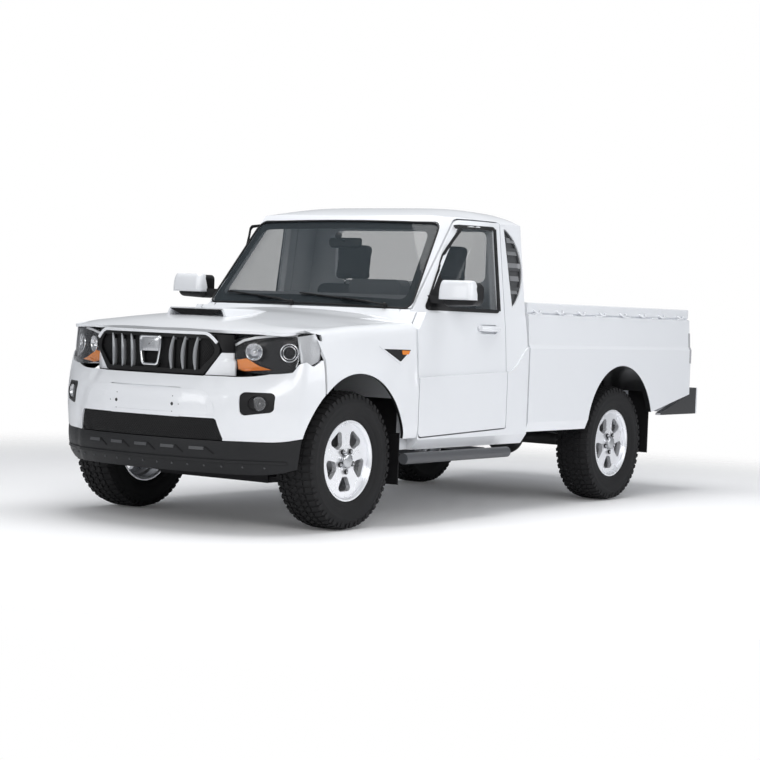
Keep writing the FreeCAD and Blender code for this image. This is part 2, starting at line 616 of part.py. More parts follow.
door_prism = prism(door_outline(0), "side", 0, d.overrun)
window_prism = prism(window_outline(0), "side", 0, d.overrun)
door_shape = outer.common(door_prism).cut(inside_wall(d.cab_wall))
pane_band = inside_wall(d.pane_inset).cut(inside_wall(d.pane_inset + d.pane_thick))
pane_shape = largest(pane_band.common(prism(window_outline(d.seat_gap), "side", 0, d.overrun)))
door_whole = largest(door_shape)
door_shape = door_whole.cut(window_prism)
opening = prism(door_outline(d.shut_gap), "side", 0, d.overrun).cut(inside_wall(d.cab_wall + d.shut_gap))

screen_outline = [(-d.screen_side_half, d.screen_base_height, d.screen_corner),
                  (d.screen_side_half, d.screen_base_height, d.screen_corner),
                  (d.screen_top_half, d.screen_top_height, d.screen_corner),
                  (-d.screen_top_half, d.screen_top_height, d.screen_corner)]
screen_cut = prism(screen_outline, "front", back(d.screen_top_back + d.screen_sag * 3), back(0))
rear_outline = [(-d.rear_glass_half, d.rear_glass_base, d.rear_glass_corner),
                (d.rear_glass_half, d.rear_glass_base, d.rear_glass_corner),
                (d.rear_glass_half, d.rear_glass_top, d.rear_glass_corner),
                (-d.rear_glass_half, d.rear_glass_top, d.rear_glass_corner)]
rear_cut = prism(rear_outline, "front", back(d.cab_rear_back + d.rear_wall),
                 back(d.cab_rear_back - d.rear_wall * 2))

shell = outer.cut(inner)
for cutter in (opening, flipped(opening), screen_cut, rear_cut):
    shell = shell.cut(cutter)
# The bonnet's skin, which also gives the room that the cab and the bay leave for it
BONNET_SIDE_SHARES = (-1, -0.86, -0.68, -0.5, -0.33, -0.16, 0, 0.16, 0.33, 0.5, 0.68, 0.86, 1)
BONNET_LENGTH_SHARES = (0, 0.05, 0.12, 0.25, 0.4, 0.55, 0.7, 0.85, 1)


def bonnet_front(half):
    """X of the bonnet's front edge at a distance from the middle."""
    table = [(0, d.bonnet_front_ahead), (d.grille_top_half, d.bonnet_front_ahead - d.bonnet_crown),
             (d.bonnet_brow_half, d.bonnet_brow_ahead), (d.bonnet_half, d.bonnet_corner_ahead)]
    straight = along(table, half)
    rounding = d.bonnet_crown * 0.3 * math.sin(math.pi * min(1, half / d.bonnet_half))
    return ahead(straight + rounding)


def bonnet_height(x, half):
    """Height of the bonnet's skin."""
    middle = along([(back(d.bonnet_rear_back + d.bonnet_rear_sweep), d.bonnet_rear_height),
                    (back(0), d.bonnet_mid_height),
                    (ahead(d.bonnet_corner_ahead), d.bonnet_nose_height + d.bonnet_lip),
                    (ahead(d.bonnet_brow_ahead), d.bonnet_nose_height + d.bonnet_lip / 8),
                    (ahead(d.bonnet_front_ahead), d.bonnet_lip_height)], x)
    return middle - d.bonnet_crown * (half / d.bonnet_half) ** 2


def bonnet_rows():
    rows = []
    for share in BONNET_LENGTH_SHARES:
        row = []
        for side in BONNET_SIDE_SHARES:
            y = side * d.bonnet_half
            front = bonnet_front(abs(y))
            rear = back(d.bonnet_rear_back + d.bonnet_rear_sweep * side * side)
            x = front + (rear - front) * share
            row.append(Vector(x, y, bonnet_height(x, y)))
        rows.append(row)
    return rows


def upward(rows, depth):
    """Everything above the surface through the rows, lowered by a depth."""
    return surface_through([[p - Vector(0, 0, depth) for p in row] for row in rows]).extrude(
        Vector(0, 0, d.overrun / 5))


skin_rows = bonnet_rows()
under_bonnet = upward(skin_rows, d.bonnet_thick + d.bonnet_room)
behind_bonnet = under_bonnet.copy()
behind_bonnet.translate(Vector(-d.moving_gap, 0, 0))
beside_bonnet = under_bonnet.copy()
beside_bonnet.translate(Vector(0, d.moving_gap, 0))
hinge_axis_x, hinge_axis_z = back(d.bonnet_hinge_back), d.bonnet_hinge_height
BONNET_SWING = (0, 12.5, 25, 37.5, 50)
SWING_BAND_SHARES = (0, 0.16, 0.33, 0.48, 0.6)


def hinge_turned(x, z, angle):
    """Where a point, given from the bonnet's hinge, comes when the bonnet opens by an angle."""
    c, s = math.cos(math.radians(angle)), math.sin(math.radians(angle))
    return hinge_axis_x + x * c - z * s, hinge_axis_z + x * s + z * c


def swing_room(inner, outer):
    """Where a band of the bonnet's rear edge, grown by the moving gap, passes as it opens."""
    edge = back(d.bonnet_rear_back + d.bonnet_rear_sweep * outer * outer)
    across = edge - d.moving_gap - hinge_axis_x
    high = bonnet_height(edge, inner * d.bonnet_half) + d.bonnet_room - hinge_axis_z
    low = bonnet_height(edge, outer * d.bonnet_half) - d.moving_gap - d.bonnet_thick - hinge_axis_z
    corners = [hinge_turned(across, high, angle) for angle in BONNET_SWING]
    last = hinge_turned(across, low, BONNET_SWING[-1])
    corners += [last, (hinge_axis_x, last[1])]
    return prism(corners, "side", inner * d.bonnet_half, outer * d.bonnet_half)


bonnet_swing = [swing_room(inner, outer) for inner, outer in zip(SWING_BAND_SHARES, SWING_BAND_SHARES[1:])]
bonnet_swing += [flipped(room) for room in bonnet_swing]

# lens-shaped recess behind the door, with its slats
louvre_height = d.louvre_top - d.louvre_base


def louvre_outline(grow):
    """Straight front edge and bowed rear edge of the quarter louvre."""
    low = Vector(back(d.louvre_front_back + d.shut_gap * 6) + grow, 0, d.louvre_base - grow)
    top = Vector(back(d.louvre_front_back) + grow, 0, d.louvre_top + grow)
    bow = Vector(back(d.louvre_rear_back) - grow, 0, d.louvre_base + louvre_height * 0.36)
    return Part.Wire([Part.Arc(low, bow, top).toShape(), Part.makeLine(top, low)])


louvre_cut = Part.Face(louvre_outline(0)).extrude(Vector(0, d.overrun, 0)).cut(inside_wall(d.louvre_depth))
louvre_room = Part.Face(louvre_outline(-d.seat_gap)).extrude(Vector(0, d.overrun, 0))
louvre_band = inside_wall(d.shut_gap).cut(inside_wall(d.louvre_depth - d.seat_gap)).common(louvre_room)
louvre_hole = Part.Face(louvre_outline(-d.louvre_frame)).extrude(Vector(0, d.overrun, 0))
louvre = louvre_band.cut(louvre_hole.cut(inside_wall(d.louvre_depth - d.louvre_plate)))
slats = []
for i in range(int(d.louvre_slats)):
    level = d.louvre_base + louvre_height * (0.22 + 0.25 * i)
    slat = block(back(d.cab_rear_back), back(d.louvre_front_back - d.cab_wall), 0, d.overrun,
                 level, level + d.louvre_slat)
    slats.append(louvre_band.common(slat))
louvre = largest(louvre.fuse(slats))
shell = shell.cut(louvre_cut).cut(flipped(louvre_cut))

# door hinges: on each side two pins, each held by a leaf that stands on the door's jamb
hinge_x, hinge_half = back(d.hinge_back), d.body_half - d.hinge_inset
hinge_solids, hinge_rooms = [], []
for i in range(2):
    level = d.hinge_low_height + i * d.hinge_pitch
    foot = Vector(hinge_x, hinge_half, level - d.hinge_pocket * 0.8)
    pin = Part.makeCylinder(d.hinge_pin_radius, d.hinge_pocket * 1.6, foot)
    ring = Part.makeCylinder(d.hinge_ring_radius, d.hinge_leaf,
                             Vector(hinge_x, hinge_half, level - d.hinge_leaf / 2))
    leaf = block(hinge_x - d.hinge_leaf / 2, hinge_x + d.hinge_leaf / 2,
                 d.body_half - d.cab_wall - d.shut_gap - d.seat_gap, hinge_half,
                 level - d.hinge_leaf / 2, level + d.hinge_leaf / 2)
    hinge_solids.append(pin.fuse([ring, leaf]))
    hinge_rooms.append(block(hinge_x - d.hinge_ring_radius, hinge_x + d.hinge_pocket,
                             d.body_half - 2 * d.cab_wall,
                             hinge_half + d.hinge_ring_radius, level - d.hinge_pocket / 2,
                             level + d.hinge_pocket / 2))
    hinge_rooms.append(Part.makeCylinder(d.hinge_pin_radius + d.running_fit,
                                         d.hinge_pocket * 1.6 + 2 * d.running_fit,
                                         foot - Vector(0, 0, d.running_fit)))
shell = shell.fuse(hinge_solids + [flipped(s) for s in hinge_solids])

# bonnet hinges: two pins, each on an ear that stands before the windscreen's foot
pin_start = d.bonnet_hinge_half - d.bonnet_hinge_length
ear_start = d.bonnet_hinge_half + d.moving_gap
ear = block(hinge_axis_x - d.bonnet_hinge_radius, hinge_axis_x + d.bonnet_hinge_radius, ear_start,
            ear_start + d.shelf_thick, hinge_axis_z - d.bonnet_hinge_length * 0.8,
            hinge_axis_z + d.bonnet_pin_radius)
bonnet_pin = Part.makeCylinder(d.bonnet_pin_radius, ear_start + d.shelf_thick - pin_start,
                               Vector(hinge_axis_x, pin_start, hinge_axis_z), Vector(0, 1, 0))
shell = largest(shell.cut([under_bonnet, behind_bonnet] + bonnet_swing))
shell = shell.fuse([ear, bonnet_pin, flipped(ear), flipped(bonnet_pin)])
shaped("cab_shell", largest(shell))
shaped("cab_louvres", both(louvre))

# fixed glass
screen_pane = before_screen(d.glass_inset + d.screen_glass, d.cowl_height)
screen_pane = screen_pane.cut(before_screen(d.glass_inset, d.cowl_height - d.shut_gap))
screen_small = [(across * (1 - d.seat_gap / d.screen_side_half), up + rise * d.seat_gap, d.screen_corner)
                for (across, up, corner), rise in zip(screen_outline, (1, 1, -1, -1))]
screen_pane = largest(screen_pane.common(
    prism(screen_small, "front", back(d.screen_top_back + d.screen_sag * 3), back(0))))
rear_small = [(across * (1 - d.seat_gap / d.rear_glass_half), up + rise * d.seat_gap, corner)
              for (across, up, corner), rise in zip(rear_outline, (1, 1, -1, -1))]
pane_x = back(d.cab_rear_back - d.rear_wall / 3)
rear_pane = prism(rear_small, "front", pane_x, pane_x + d.screen_glass)
shaped("fixed_glass", Part.Compound([screen_pane, rear_pane]))

# doors: the skin with its window, a dished handle, and hinge leaves that reach the hinge line
handle_x, handle_z = back(d.handle_centre_back), d.handle_centre_height


def handle_outline(length, height, lift):
    round_off = height / 3
    low, high = handle_z + lift - height / 2, handle_z + lift + height / 2
    rear, front = handle_x - length / 2, handle_x + length / 2
    return [(rear, low, round_off), (front, low, round_off), (front, high, round_off),
            (rear, high, round_off)]


dish = prism(handle_outline(d.handle_length * 0.8, d.handle_height, 0), "side", 0, d.overrun)
grip = prism(handle_outline(d.handle_length, d.handle_height / 2, d.handle_height / 6), "side", 0, d.overrun)
grip = grip.common(inside_wall(-d.handle_depth)).cut(inside_wall(0))
door_left = door_shape.cut(dish.cut(inside_wall(d.handle_dish))).fuse(grip).cut(hinge_rooms)
door_left = largest(door_left)
for name, side_shape in (("left", door_left), ("right", flipped(door_left))):
    shaped(f"door_{name}", side_shape)
for name, side_shape in (("left", pane_shape), ("right", flipped(pane_shape))):
    shaped(f"door_glass_{name}", side_shape)

# mirrors: a housing on an arm from the sail at the window's front corner
mirror_top = d.mirror_base + d.mirror_height
housing = prism([(d.mirror_inner_half, d.mirror_base, d.mirror_corner),
                 (d.mirror_outer_half, d.mirror_base + d.mirror_corner / 3, d.mirror_corner * 1.4),
                 (d.mirror_outer_half, mirror_top - d.mirror_corner / 3, d.mirror_corner * 1.4),
                 (d.mirror_inner_half, mirror_top, d.mirror_corner)],
                "front", back(d.mirror_back + d.mirror_depth), back(d.mirror_back))
front_edges = [e for e in housing.Edges if min(v.Point.x for v in e.Vertexes) > back(d.mirror_back) - d.seat_gap]
housing = housing.makeFillet(d.mirror_corner * 0.9, front_edges)
glass_pocket = prism([(d.mirror_inner_half + d.mirror_corner / 2, d.mirror_base + d.mirror_corner / 2,
                       d.mirror_corner),
                      (d.mirror_outer_half - d.mirror_corner / 2, d.mirror_base + d.mirror_corner / 2,
                       d.mirror_corner),
                      (d.mirror_outer_half - d.mirror_corner / 2, mirror_top - d.mirror_corner / 2,
                       d.mirror_corner),
                      (d.mirror_inner_half + d.mirror_corner / 2, mirror_top - d.mirror_corner / 2,
                       d.mirror_corner)],
                     "front", back(d.mirror_back + d.mirror_depth),
                     back(d.mirror_back + d.mirror_depth * 0.94))
arm_x = back(d.mirror_back + d.mirror_depth * 0.7)
arm = block(arm_x, arm_x + d.mirror_arm, d.screen_side_half - d.mirror_arm,
            d.mirror_inner_half + d.mirror_corner,
            d.mirror_base + d.mirror_corner / 2, d.mirror_base + d.mirror_corner / 2 + d.mirror_arm)
sail = inside_wall(-d.seat_gap).cut(inside_wall(d.pane_inset - d.seat_gap)).common(
    prism([(back(d.window_front_back) - d.seat_gap * 3, d.window_base + d.seat_gap),
           (back(d.sail_back), d.window_base + d.seat_gap),
           (back(d.sail_back), d.window_base + (d.sail_back - d.window_front_back) * 1.22)], "side", 0,
          d.overrun))
mirror_left = housing.cut(glass_pocket).fuse([largest(arm.cut(inside_wall(d.pane_inset / 2))), sail])
mirror_left = largest(mirror_left.cut(door_left))
for name, side_shape in (("left", mirror_left), ("right", flipped(mirror_left))):
    shaped(f"mirror_{name}", side_shape)


# Bonnet: a crowned panel with a raised intake whose mouth faces forward
bonnet = thick_panel(skin_rows, -d.bonnet_thick)


def scoop_wire(x, half, top_half, top, base):
    corners = [(-half, base), (half, base), (top_half, top, d.scoop_wall * 1.5),
               (-top_half, top, d.scoop_wall * 1.5)]
    return outline(corners, "front", x)


scoop_base = bonnet_height(ahead(d.scoop_ahead), 0) - d.bonnet_thick * 2
scoop = Part.makeLoft([
    scoop_wire(ahead(d.scoop_ahead), d.scoop_half, d.scoop_top_half, d.scoop_height, scoop_base),
    scoop_wire(back(-d.scoop_mouth), d.scoop_half, d.scoop_top_half,
               bonnet_height(back(-d.scoop_mouth), 0) + (d.scoop_height - d.bonnet_mid_height) * 1.7,
               scoop_base),
    scoop_wire(back(d.scoop_tail_back), d.scoop_tail_half, d.scoop_tail_half * 0.9,
               bonnet_height(back(d.scoop_tail_back), 0) - d.bonnet_thick / 8, scoop_base)], True)
scoop = scoop.common(upward(skin_rows, d.bonnet_thick / 2))
mouth = Part.makeLoft([
    scoop_wire(ahead(d.scoop_ahead + d.scoop_wall), d.scoop_half - d.scoop_wall * 1.6,
               d.scoop_top_half - d.scoop_wall / 2, d.scoop_height - d.scoop_wall, scoop_base),
    scoop_wire(ahead(d.scoop_ahead - d.scoop_mouth), d.scoop_half - d.scoop_wall * 3,
               d.scoop_top_half - d.scoop_wall * 2, d.scoop_height - d.scoop_wall * 1.6, scoop_base)], True)
mouth = mouth.common(upward(skin_rows, -d.seat_gap))
bonnet_eye = Part.makeCylinder(d.bonnet_hinge_radius, d.bonnet_hinge_length,
                               Vector(hinge_axis_x, pin_start, hinge_axis_z), Vector(0, 1, 0))
bonnet_web = block(hinge_axis_x, hinge_axis_x + d.bonnet_hinge_length / 2, pin_start, d.bonnet_hinge_half,
                   hinge_axis_z - d.bonnet_hinge_radius,
                   bonnet_height(hinge_axis_x, pin_start) - d.bonnet_thick / 2)
bonnet_bore = Part.makeCylinder(d.bonnet_pin_radius + d.running_fit, 2 * d.bonnet_hinge_length,
                                Vector(hinge_axis_x, pin_start - d.bonnet_hinge_length / 2, hinge_axis_z),
                                Vector(0, 1, 0))
bonnet = bonnet.fuse([scoop, bonnet_eye, flipped(bonnet_eye), bonnet_web, flipped(bonnet_web)])
bonnet = largest(bonnet.cut([mouth, bonnet_bore, flipped(bonnet_bore)]))
shaped("bonnet", bonnet)
# Headlamps: a solid lamp between the grille, the bonnet's edge, the wing and the bumper
LAMP_STATION_SHARES = (0, 0.25, 0.5, 0.75, 1)


def lamp_point(share, rise):
    """A point of the left lamp's face: share runs from the inner end to the rear tip, rise from 0 to 1."""
    low_z = along([(0, 0.905), (0.25, 0.868), (0.5, 0.872), (0.75, 0.895), (1, 0.945)], share) * d.lamp_top
    low_z = low_z / 1.096
    top_z = along([(0, 1.035), (0.25, 1.078), (0.5, 1.088), (0.75, 1.094), (1, 1.085)],
                  share) * d.lamp_top / 1.096
    half = d.lamp_inner_half + (d.lamp_rear_half - d.lamp_inner_half) * math.sin(share * math.pi / 2) ** 0.9
    low_x = d.lamp_inner_ahead - (d.lamp_inner_ahead - d.lamp_rear_ahead) * share ** 1.55
    lean = d.bumper_nose_step * 0.45 * rise ** 1.5 * (1 - share * 0.7)
    return Vector(ahead(low_x - lean), half - lean * 0.4 * share, low_z + (top_z - low_z) * rise)


lamp_rows = [[lamp_point(share, rise) for rise in (0, 0.33, 0.67, 1)] for share in LAMP_STATION_SHARES]
lamp = thick_panel(lamp_rows, d.lamp_thick)
lamp = largest(lamp.cut([under_bonnet, beside_bonnet]))
shaped("headlamps", both(lamp))


def lamp_surround(rows, amount):
    """The lamp's outline grown by an amount below, above, at the inner end and at the rear tip."""
    grown = [[row[0] - Vector(0, 0, amount)] + row[1:-1] + [row[-1] + Vector(0, 0, amount)] for row in rows]
    grown[0] = [point - Vector(0, amount, 0) for point in grown[0]]
    grown[-1] = [point - Vector(amount, 0, 0) for point in grown[-1]]
    return grown


lamp_room = thick_panel(lamp_surround(inward(lamp_rows, -d.lamp_proud), d.seat_gap * 2),
                        d.lamp_thick + 2 * d.lamp_proud)

# Front wings: the skin from the bonnet's edge over the shoulder and down to the sill, with the wheel's arch cut out
WING_DROP_SHARES = (0, 0.02, 0.06, 0.14, 0.28, 0.46, 0.62, 0.74, 0.84, 0.92, 1)


def bonnet_edge_height(x):
    return bonnet_height(x, d.bonnet_half)


def wing_half(x, height, top):
    """Half width of the wing's skin at a height: shoulder, upper side, then the prouder lower side."""
    crease = along([(back(d.cab_front_back), d.crease_front_height),
                    (front_axle_x, d.crease_front_height * 1.06),
                    (ahead(d.wing_tip_ahead), d.crease_front_height * 1.1)], x)
    upper = d.body_half - d.crease_step - (d.body_half - d.crease_step - d.wing_shoulder_half) * (
        (height - crease) / (top - crease)) if height > crease else d.body_half - d.crease_step
    bulge = blend((crease - height) / (d.crease_step * 2)) * d.crease_step
    tuck = blend((d.wing_bottom_height + d.sill_tuck_height - height) / d.sill_tuck_height) * d.crease_step
    nose = blend((x - front_axle_x) / d.wing_tip_ahead) * d.crease_step / 2
    shoulder = (d.wing_shoulder_half - d.bonnet_half - d.wing_gap) * (
        1 - math.sqrt(max(0, 1 - min(1, (height - top + d.sill_tuck * 1.5) / (d.sill_tuck * 1.5)) ** 2))
    ) if height > top - d.sill_tuck * 1.5 else 0
    return upper + bulge - tuck - nose - shoulder


def wing_rows():
    rows = []
    rear, front = back(d.wing_rear_back), ahead(d.wing_tip_ahead)
    for x in steps(rear, front, 13):
        top = bonnet_edge_height(x) - d.seat_gap
        base = d.wing_bottom_height
        rows.append([Vector(x, wing_half(x, top - (top - base) * share, top), top - (top - base) * share)
                     for share in WING_DROP_SHARES])
    return rows


wing = thick_panel(wing_rows(), d.wing_thick)
arch = Part.makeCylinder(d.arch_radius, d.overrun, Vector(front_axle_x, 0, d.arch_centre_height),
                                          Vector(0, 1, 0))
nose_line = prism([(ahead(d.wing_tip_ahead), d.crease_front_height * 1.3),
                   (ahead(d.wing_tip_ahead + d.overrun), 2 * d.overrun),
                   (ahead(d.overrun), 0), (ahead(d.wing_front_ahead), 0),
                   (ahead(d.wing_front_ahead), d.crease_front_height * 1.12)],
                  "side", 0, d.overrun)
wing = largest(wing.cut([arch, nose_line, lamp_room, under_bonnet, beside_bonnet]))
shaped("front_wings", both(wing))

# Front bumper skin: wraps from arch to arch, its plan curve bound to the nose
NOSE_PLAN_SHARES = ((0, 0), (0.22, 0.02), (0.44, 0.085), (0.62, 0.19), (0.77, 0.35), (0.88, 0.53),
                    (0.955, 0.7), (1, 1))


def smooth_along(table, value):
    """A smooth curve through a table of (place, value) pairs that are evenly spaced."""
    count = len(table) - 1
    index = min(count - 1, int(value * count))
    part = value * count - index
    p = [table[min(count, max(0, index + k))] for k in (-1, 0, 1, 2)]
    if index == 0:
        p[0] = (-p[2][0], p[2][1])
    out = []
    for a, b, c, e in zip(*p):
        out.append(b + part * ((c - a) + part * (2 * a - 5 * b + 4 * c - e + part * (3 * (b - c) + e - a))) / 2)
    return out


def nose_point(share, setback, height):
    """A point of the nose's plan curve: share runs from the middle, 0, to the arch, 1."""
    y, x = smooth_along(NOSE_PLAN_SHARES, share)
    y = y * (d.body_half - d.crease_step / 2)
    x = d.nose_ahead - x * (d.nose_ahead - d.bumper_side_ahead)
    fade = 1 - blend((share - 0.55) / 0.45)
    edge = along([(d.bumper_split_height, d.intake_half + d.shield_run), (d.plate_base, d.intake_top_half),
                  (d.bumper_top_height, d.grille_foot_half + d.shield_run)], height)
    beside = blend((y - edge) / d.shield_run) * d.shield_step
    return Vector(ahead(x - setback * fade - beside * fade),
                  y - setback * 0.35 * blend((share - 0.5) / 0.5), height)


NOSE_STATIONS = 44


def nose_rows(levels):
    """Rows over the nose from the right arch to the left; levels gives (height, setback) pairs for a share."""
    rows = []
    for i in range(NOSE_STATIONS + 1):
        side = -1 + 2 * i / NOSE_STATIONS
        row = []
        for height, setback in levels(abs(side)):
            point = nose_point(abs(side), setback, height)
            row.append(Vector(point.x, point.y * (1 if side > 0 else -1), point.z))
        rows.append(row)
    return rows


def bumper_levels(share):
    base = d.bumper_split_height + (d.bumper_arch_height - d.bumper_split_height) * blend((share - 0.6) / 0.4)
    top = d.bumper_top_height + (d.lamp_tip_height - d.bumper_top_height) * blend((share - 0.4) / 0.6)
    full = d.bumper_full_height
    return [(base, d.bumper_nose_step * 0.25), ((base + full) / 2, d.bumper_nose_step * 0.05), (full, 0),
            (full + (top - full) * 0.45, d.bumper_nose_step * 0.25), (top, d.bumper_nose_step)]


def valance_levels(share):
    top = d.bumper_split_height - d.valance_gap
    top += (d.bumper_arch_height - d.bumper_split_height) * blend((share - 0.6) / 0.4)
    base = d.valance_base_height + (d.valance_side_height - d.valance_base_height) * blend((share - 0.5) / 0.5)
    return [(base, d.valance_under), (base + (top - base) * 0.5, d.bumper_nose_step * 0.35),
            (top, d.bumper_nose_step * 0.35)]


bumper_rows = nose_rows(bumper_levels)
bumper = thick_panel(bumper_rows, d.bumper_thick)
valance = thick_panel(nose_rows(valance_levels), d.valance_thick)


def nose_prism(points):
    """An outline across and up, run through the whole nose."""
    return prism(points, "front", ahead(0), ahead(d.nose_ahead + d.overrun))


def across_pair(low_half, top_half, low, top, corner, shrink=0):
    return [(-low_half + shrink, low + shrink, corner), (low_half - shrink, low + shrink, corner),
            (top_half - shrink, top - shrink, corner), (-top_half + shrink, top - shrink, corner)]


grille_points = [(-d.grille_foot_half, d.grille_base), (d.grille_foot_half, d.grille_base),
                 (d.grille_shoulder_half, d.grille_shoulder_height, d.grille_frame * 2),
                 (d.grille_top_half, d.grille_top), (-d.grille_top_half, d.grille_top),
                 (-d.grille_shoulder_half, d.grille_shoulder_height, d.grille_frame * 2)]
grille_room = nose_prism([(y + math.copysign(d.shut_gap, y),
                           z - d.shut_gap if z < d.grille_shoulder_height else z)
                          + tuple(rest) for y, z, *rest in grille_points])

# lower intake, with its mesh set back inside
intake = nose_prism(across_pair(d.intake_half, d.intake_top_half, d.intake_base, d.intake_top,
                                d.intake_corner))
plate_place = nose_prism(across_pair(d.plate_half, d.plate_half, d.plate_base, d.plate_top, d.intake_corner))
plate_band = thick_panel(inward(bumper_rows, -d.plate_recess), d.plate_recess * 2)
fog_points = [(d.fog_inner_half, d.fog_base, d.fog_corner),
              (d.fog_outer_half, d.fog_base + d.fog_corner, d.fog_corner),
              (d.fog_outer_half, d.fog_top, d.fog_corner),
              (d.fog_inner_half - d.fog_corner / 2, d.fog_top, d.fog_corner)]
fog_hole = nose_prism(fog_points)
mesh_place = nose_prism(across_pair(d.intake_half, d.intake_top_half, d.intake_base, d.intake_top,
                                    d.intake_corner, d.seat_gap))
mesh_band = thick_panel(inward(bumper_rows, d.bumper_thick / 2), d.mesh_depth)
intake_mesh = largest(mesh_band.common(mesh_place))
bumper = bumper.cut([arch, flipped(arch), grille_room])
bumper = bumper.cut([lamp_room, flipped(lamp_room)])
bumper = largest(bumper.cut(intake).cut(plate_place.common(plate_band)).cut(fog_hole).cut(flipped(fog_hole)))
shaped("front_bumper", bumper)
shaped("bumper_valance", largest(valance.cut(arch).cut(flipped(arch))))

# fog lamps: a dished bezel and the lamp in it, on each side
fog_small = [(y + (d.seat_gap if i in (0, 3) else -d.seat_gap),
              z + (d.seat_gap if i < 2 else -d.seat_gap), corner)
             for i, (y, z, corner) in enumerate(fog_points)]
bezel_band = thick_panel(inward(bumper_rows, d.bumper_thick / 4), d.fog_depth)
bezel = largest(bezel_band.common(nose_prism(fog_small)))
fog_y, fog_z = (d.fog_inner_half + d.fog_outer_half) / 2, (d.fog_base + d.fog_top + d.fog_corner / 2) / 2
fog_dish = Part.makeCylinder(d.fog_lens_radius, d.overrun, Vector(ahead(0), fog_y, fog_z), Vector(1, 0, 0))
dish_band = thick_panel(inward(bumper_rows, -d.fog_depth), d.fog_depth * 1.5)
bezel = largest(bezel.cut(fog_dish.common(dish_band)))
shaped("fog_lamps", both(bezel))


# Grille: a frame that bulges forward, a mesh behind it, upright blades and a bare shield in the middle
def grille_slab(front, rear):
    """The space between two bowed faces set back from the grille's front."""
    walls = []
    for setback in (front, rear):
        ends = [Vector(ahead(d.grille_edge_ahead - setback), side * d.grille_shoulder_half * 1.05,
                       d.grille_base / 2)
                for side in (-1, 1)]
        middle = Vector(ahead(d.grille_ahead - setback), 0, d.grille_base / 2)
        walls.append((Part.Arc(ends[0], middle, ends[1]).toShape(), ends))
    wire = Part.Wire([walls[0][0], Part.makeLine(walls[0][1][1], walls[1][1][1]), walls[1][0],
                      Part.makeLine(walls[1][1][0], walls[0][1][0])])
    return Part.Face(wire).extrude(Vector(0, 0, d.grille_top))


def shrunk(points, amount, middle):
    """An outline pulled towards a middle height and the middle plane."""
    moved = []
    for point in points:
        y, z = point[0], point[1]
        moved.append((y - math.copysign(amount, y),
                      z + (amount if z < middle - amount else -amount if z > middle + amount
                      else 0)) + tuple(point[2:]))
    return moved


grille_middle = d.grille_shoulder_height
rim_slab = grille_slab(0, d.grille_depth)
frame = rim_slab.common(nose_prism(grille_points)).cut(nose_prism(shrunk(grille_points, d.grille_frame,
                                                                         grille_middle)))
mesh = grille_slab(d.mesh_inset, d.mesh_inset + d.mesh_depth).common(
    nose_prism(shrunk(grille_points, d.grille_frame / 2, grille_middle)))
pieces = [mesh]
shield_z = (d.grille_base + d.grille_top) / 2
shield = across_pair(d.shield_half * 0.8, d.shield_half, shield_z - d.shield_height / 2,
                     shield_z + d.shield_height / 2, d.shield_frame * 1.5)
shield_hole = across_pair(d.shield_half * 0.8, d.shield_half, shield_z - d.shield_height / 2,
                          shield_z + d.shield_height / 2, d.shield_frame, d.shield_frame)
pieces.append(grille_slab(0,
                          d.mesh_inset + d.mesh_depth / 2).common(nose_prism(shield)).cut(nose_prism(shield_hole)))
blade_span = d.grille_foot_half - d.shield_half
for side in (LEFT, RIGHT):
    for i in range(int(d.blade_count)):
        y = side * (d.shield_half + blade_span * (i + 1) / (d.blade_count + 0.6))
        blade = [(y - d.blade_width / 2, d.grille_base + d.grille_frame / 2),
                 (y + d.blade_width / 2, d.grille_base + d.grille_frame / 2),
                 (y + d.blade_width / 2, d.grille_top - d.grille_frame / 2),
                 (y - d.blade_width / 2, d.grille_top - d.grille_frame / 2)]
        pieces.append(grille_slab(d.plate_recess / 2,
                                  d.mesh_inset + d.mesh_depth / 2).common(nose_prism(blade)))
grille = largest(frame.fuse(pieces).cut(under_bonnet))
shaped("grille", Part.Compound([grille, intake_mesh]))


# Load bed: double-skinned sides with a rail, floor, front wall, wheelhouses, rope hooks and a rear sill
bed_front, bed_rear = back(d.bed_front_back), back(bed_rear_back)
tail_start = back(bed_rear_back - d.bed_tail_run)
bed_floor_base = d.bed_floor_height - d.bed_floor_thick


def bed_side_section():
    """Outline of the left side, across and up, from the skin's foot round to the inner wall."""
    upper = d.body_half - d.crease_step
    return [(upper - d.bed_skin, d.bed_base_height), (upper - d.crease_step / 2, d.bed_base_height),
            (d.body_half, d.bed_base_height + d.sill_tuck_height),
            (d.body_half, d.bed_crease_height - d.crease_step * 2),
            (upper, d.bed_crease_height), (d.bed_shoulder_half, d.bed_shoulder_height),
            (d.bed_rail_half - d.crease_step, d.bed_rail_lip - d.shut_gap),
            (d.bed_rail_half, d.bed_rail_lip),
            (d.bed_rail_half, d.bed_rail_height, d.shut_gap),
            (d.bed_rail_inner_half, d.bed_rail_height, d.shut_gap),
            (d.bed_rail_inner_half, d.bed_rail_height - d.bed_rail_depth),
            (d.bed_inner_half, d.bed_rail_height - d.bed_rail_depth - d.crease_step),
            (d.bed_inner_half, bed_floor_base), (d.body_half - d.bed_skin - d.crease_step, bed_floor_base),
            (d.body_half - d.bed_skin - d.crease_step, d.bed_base_height + d.sill_tuck_height)]


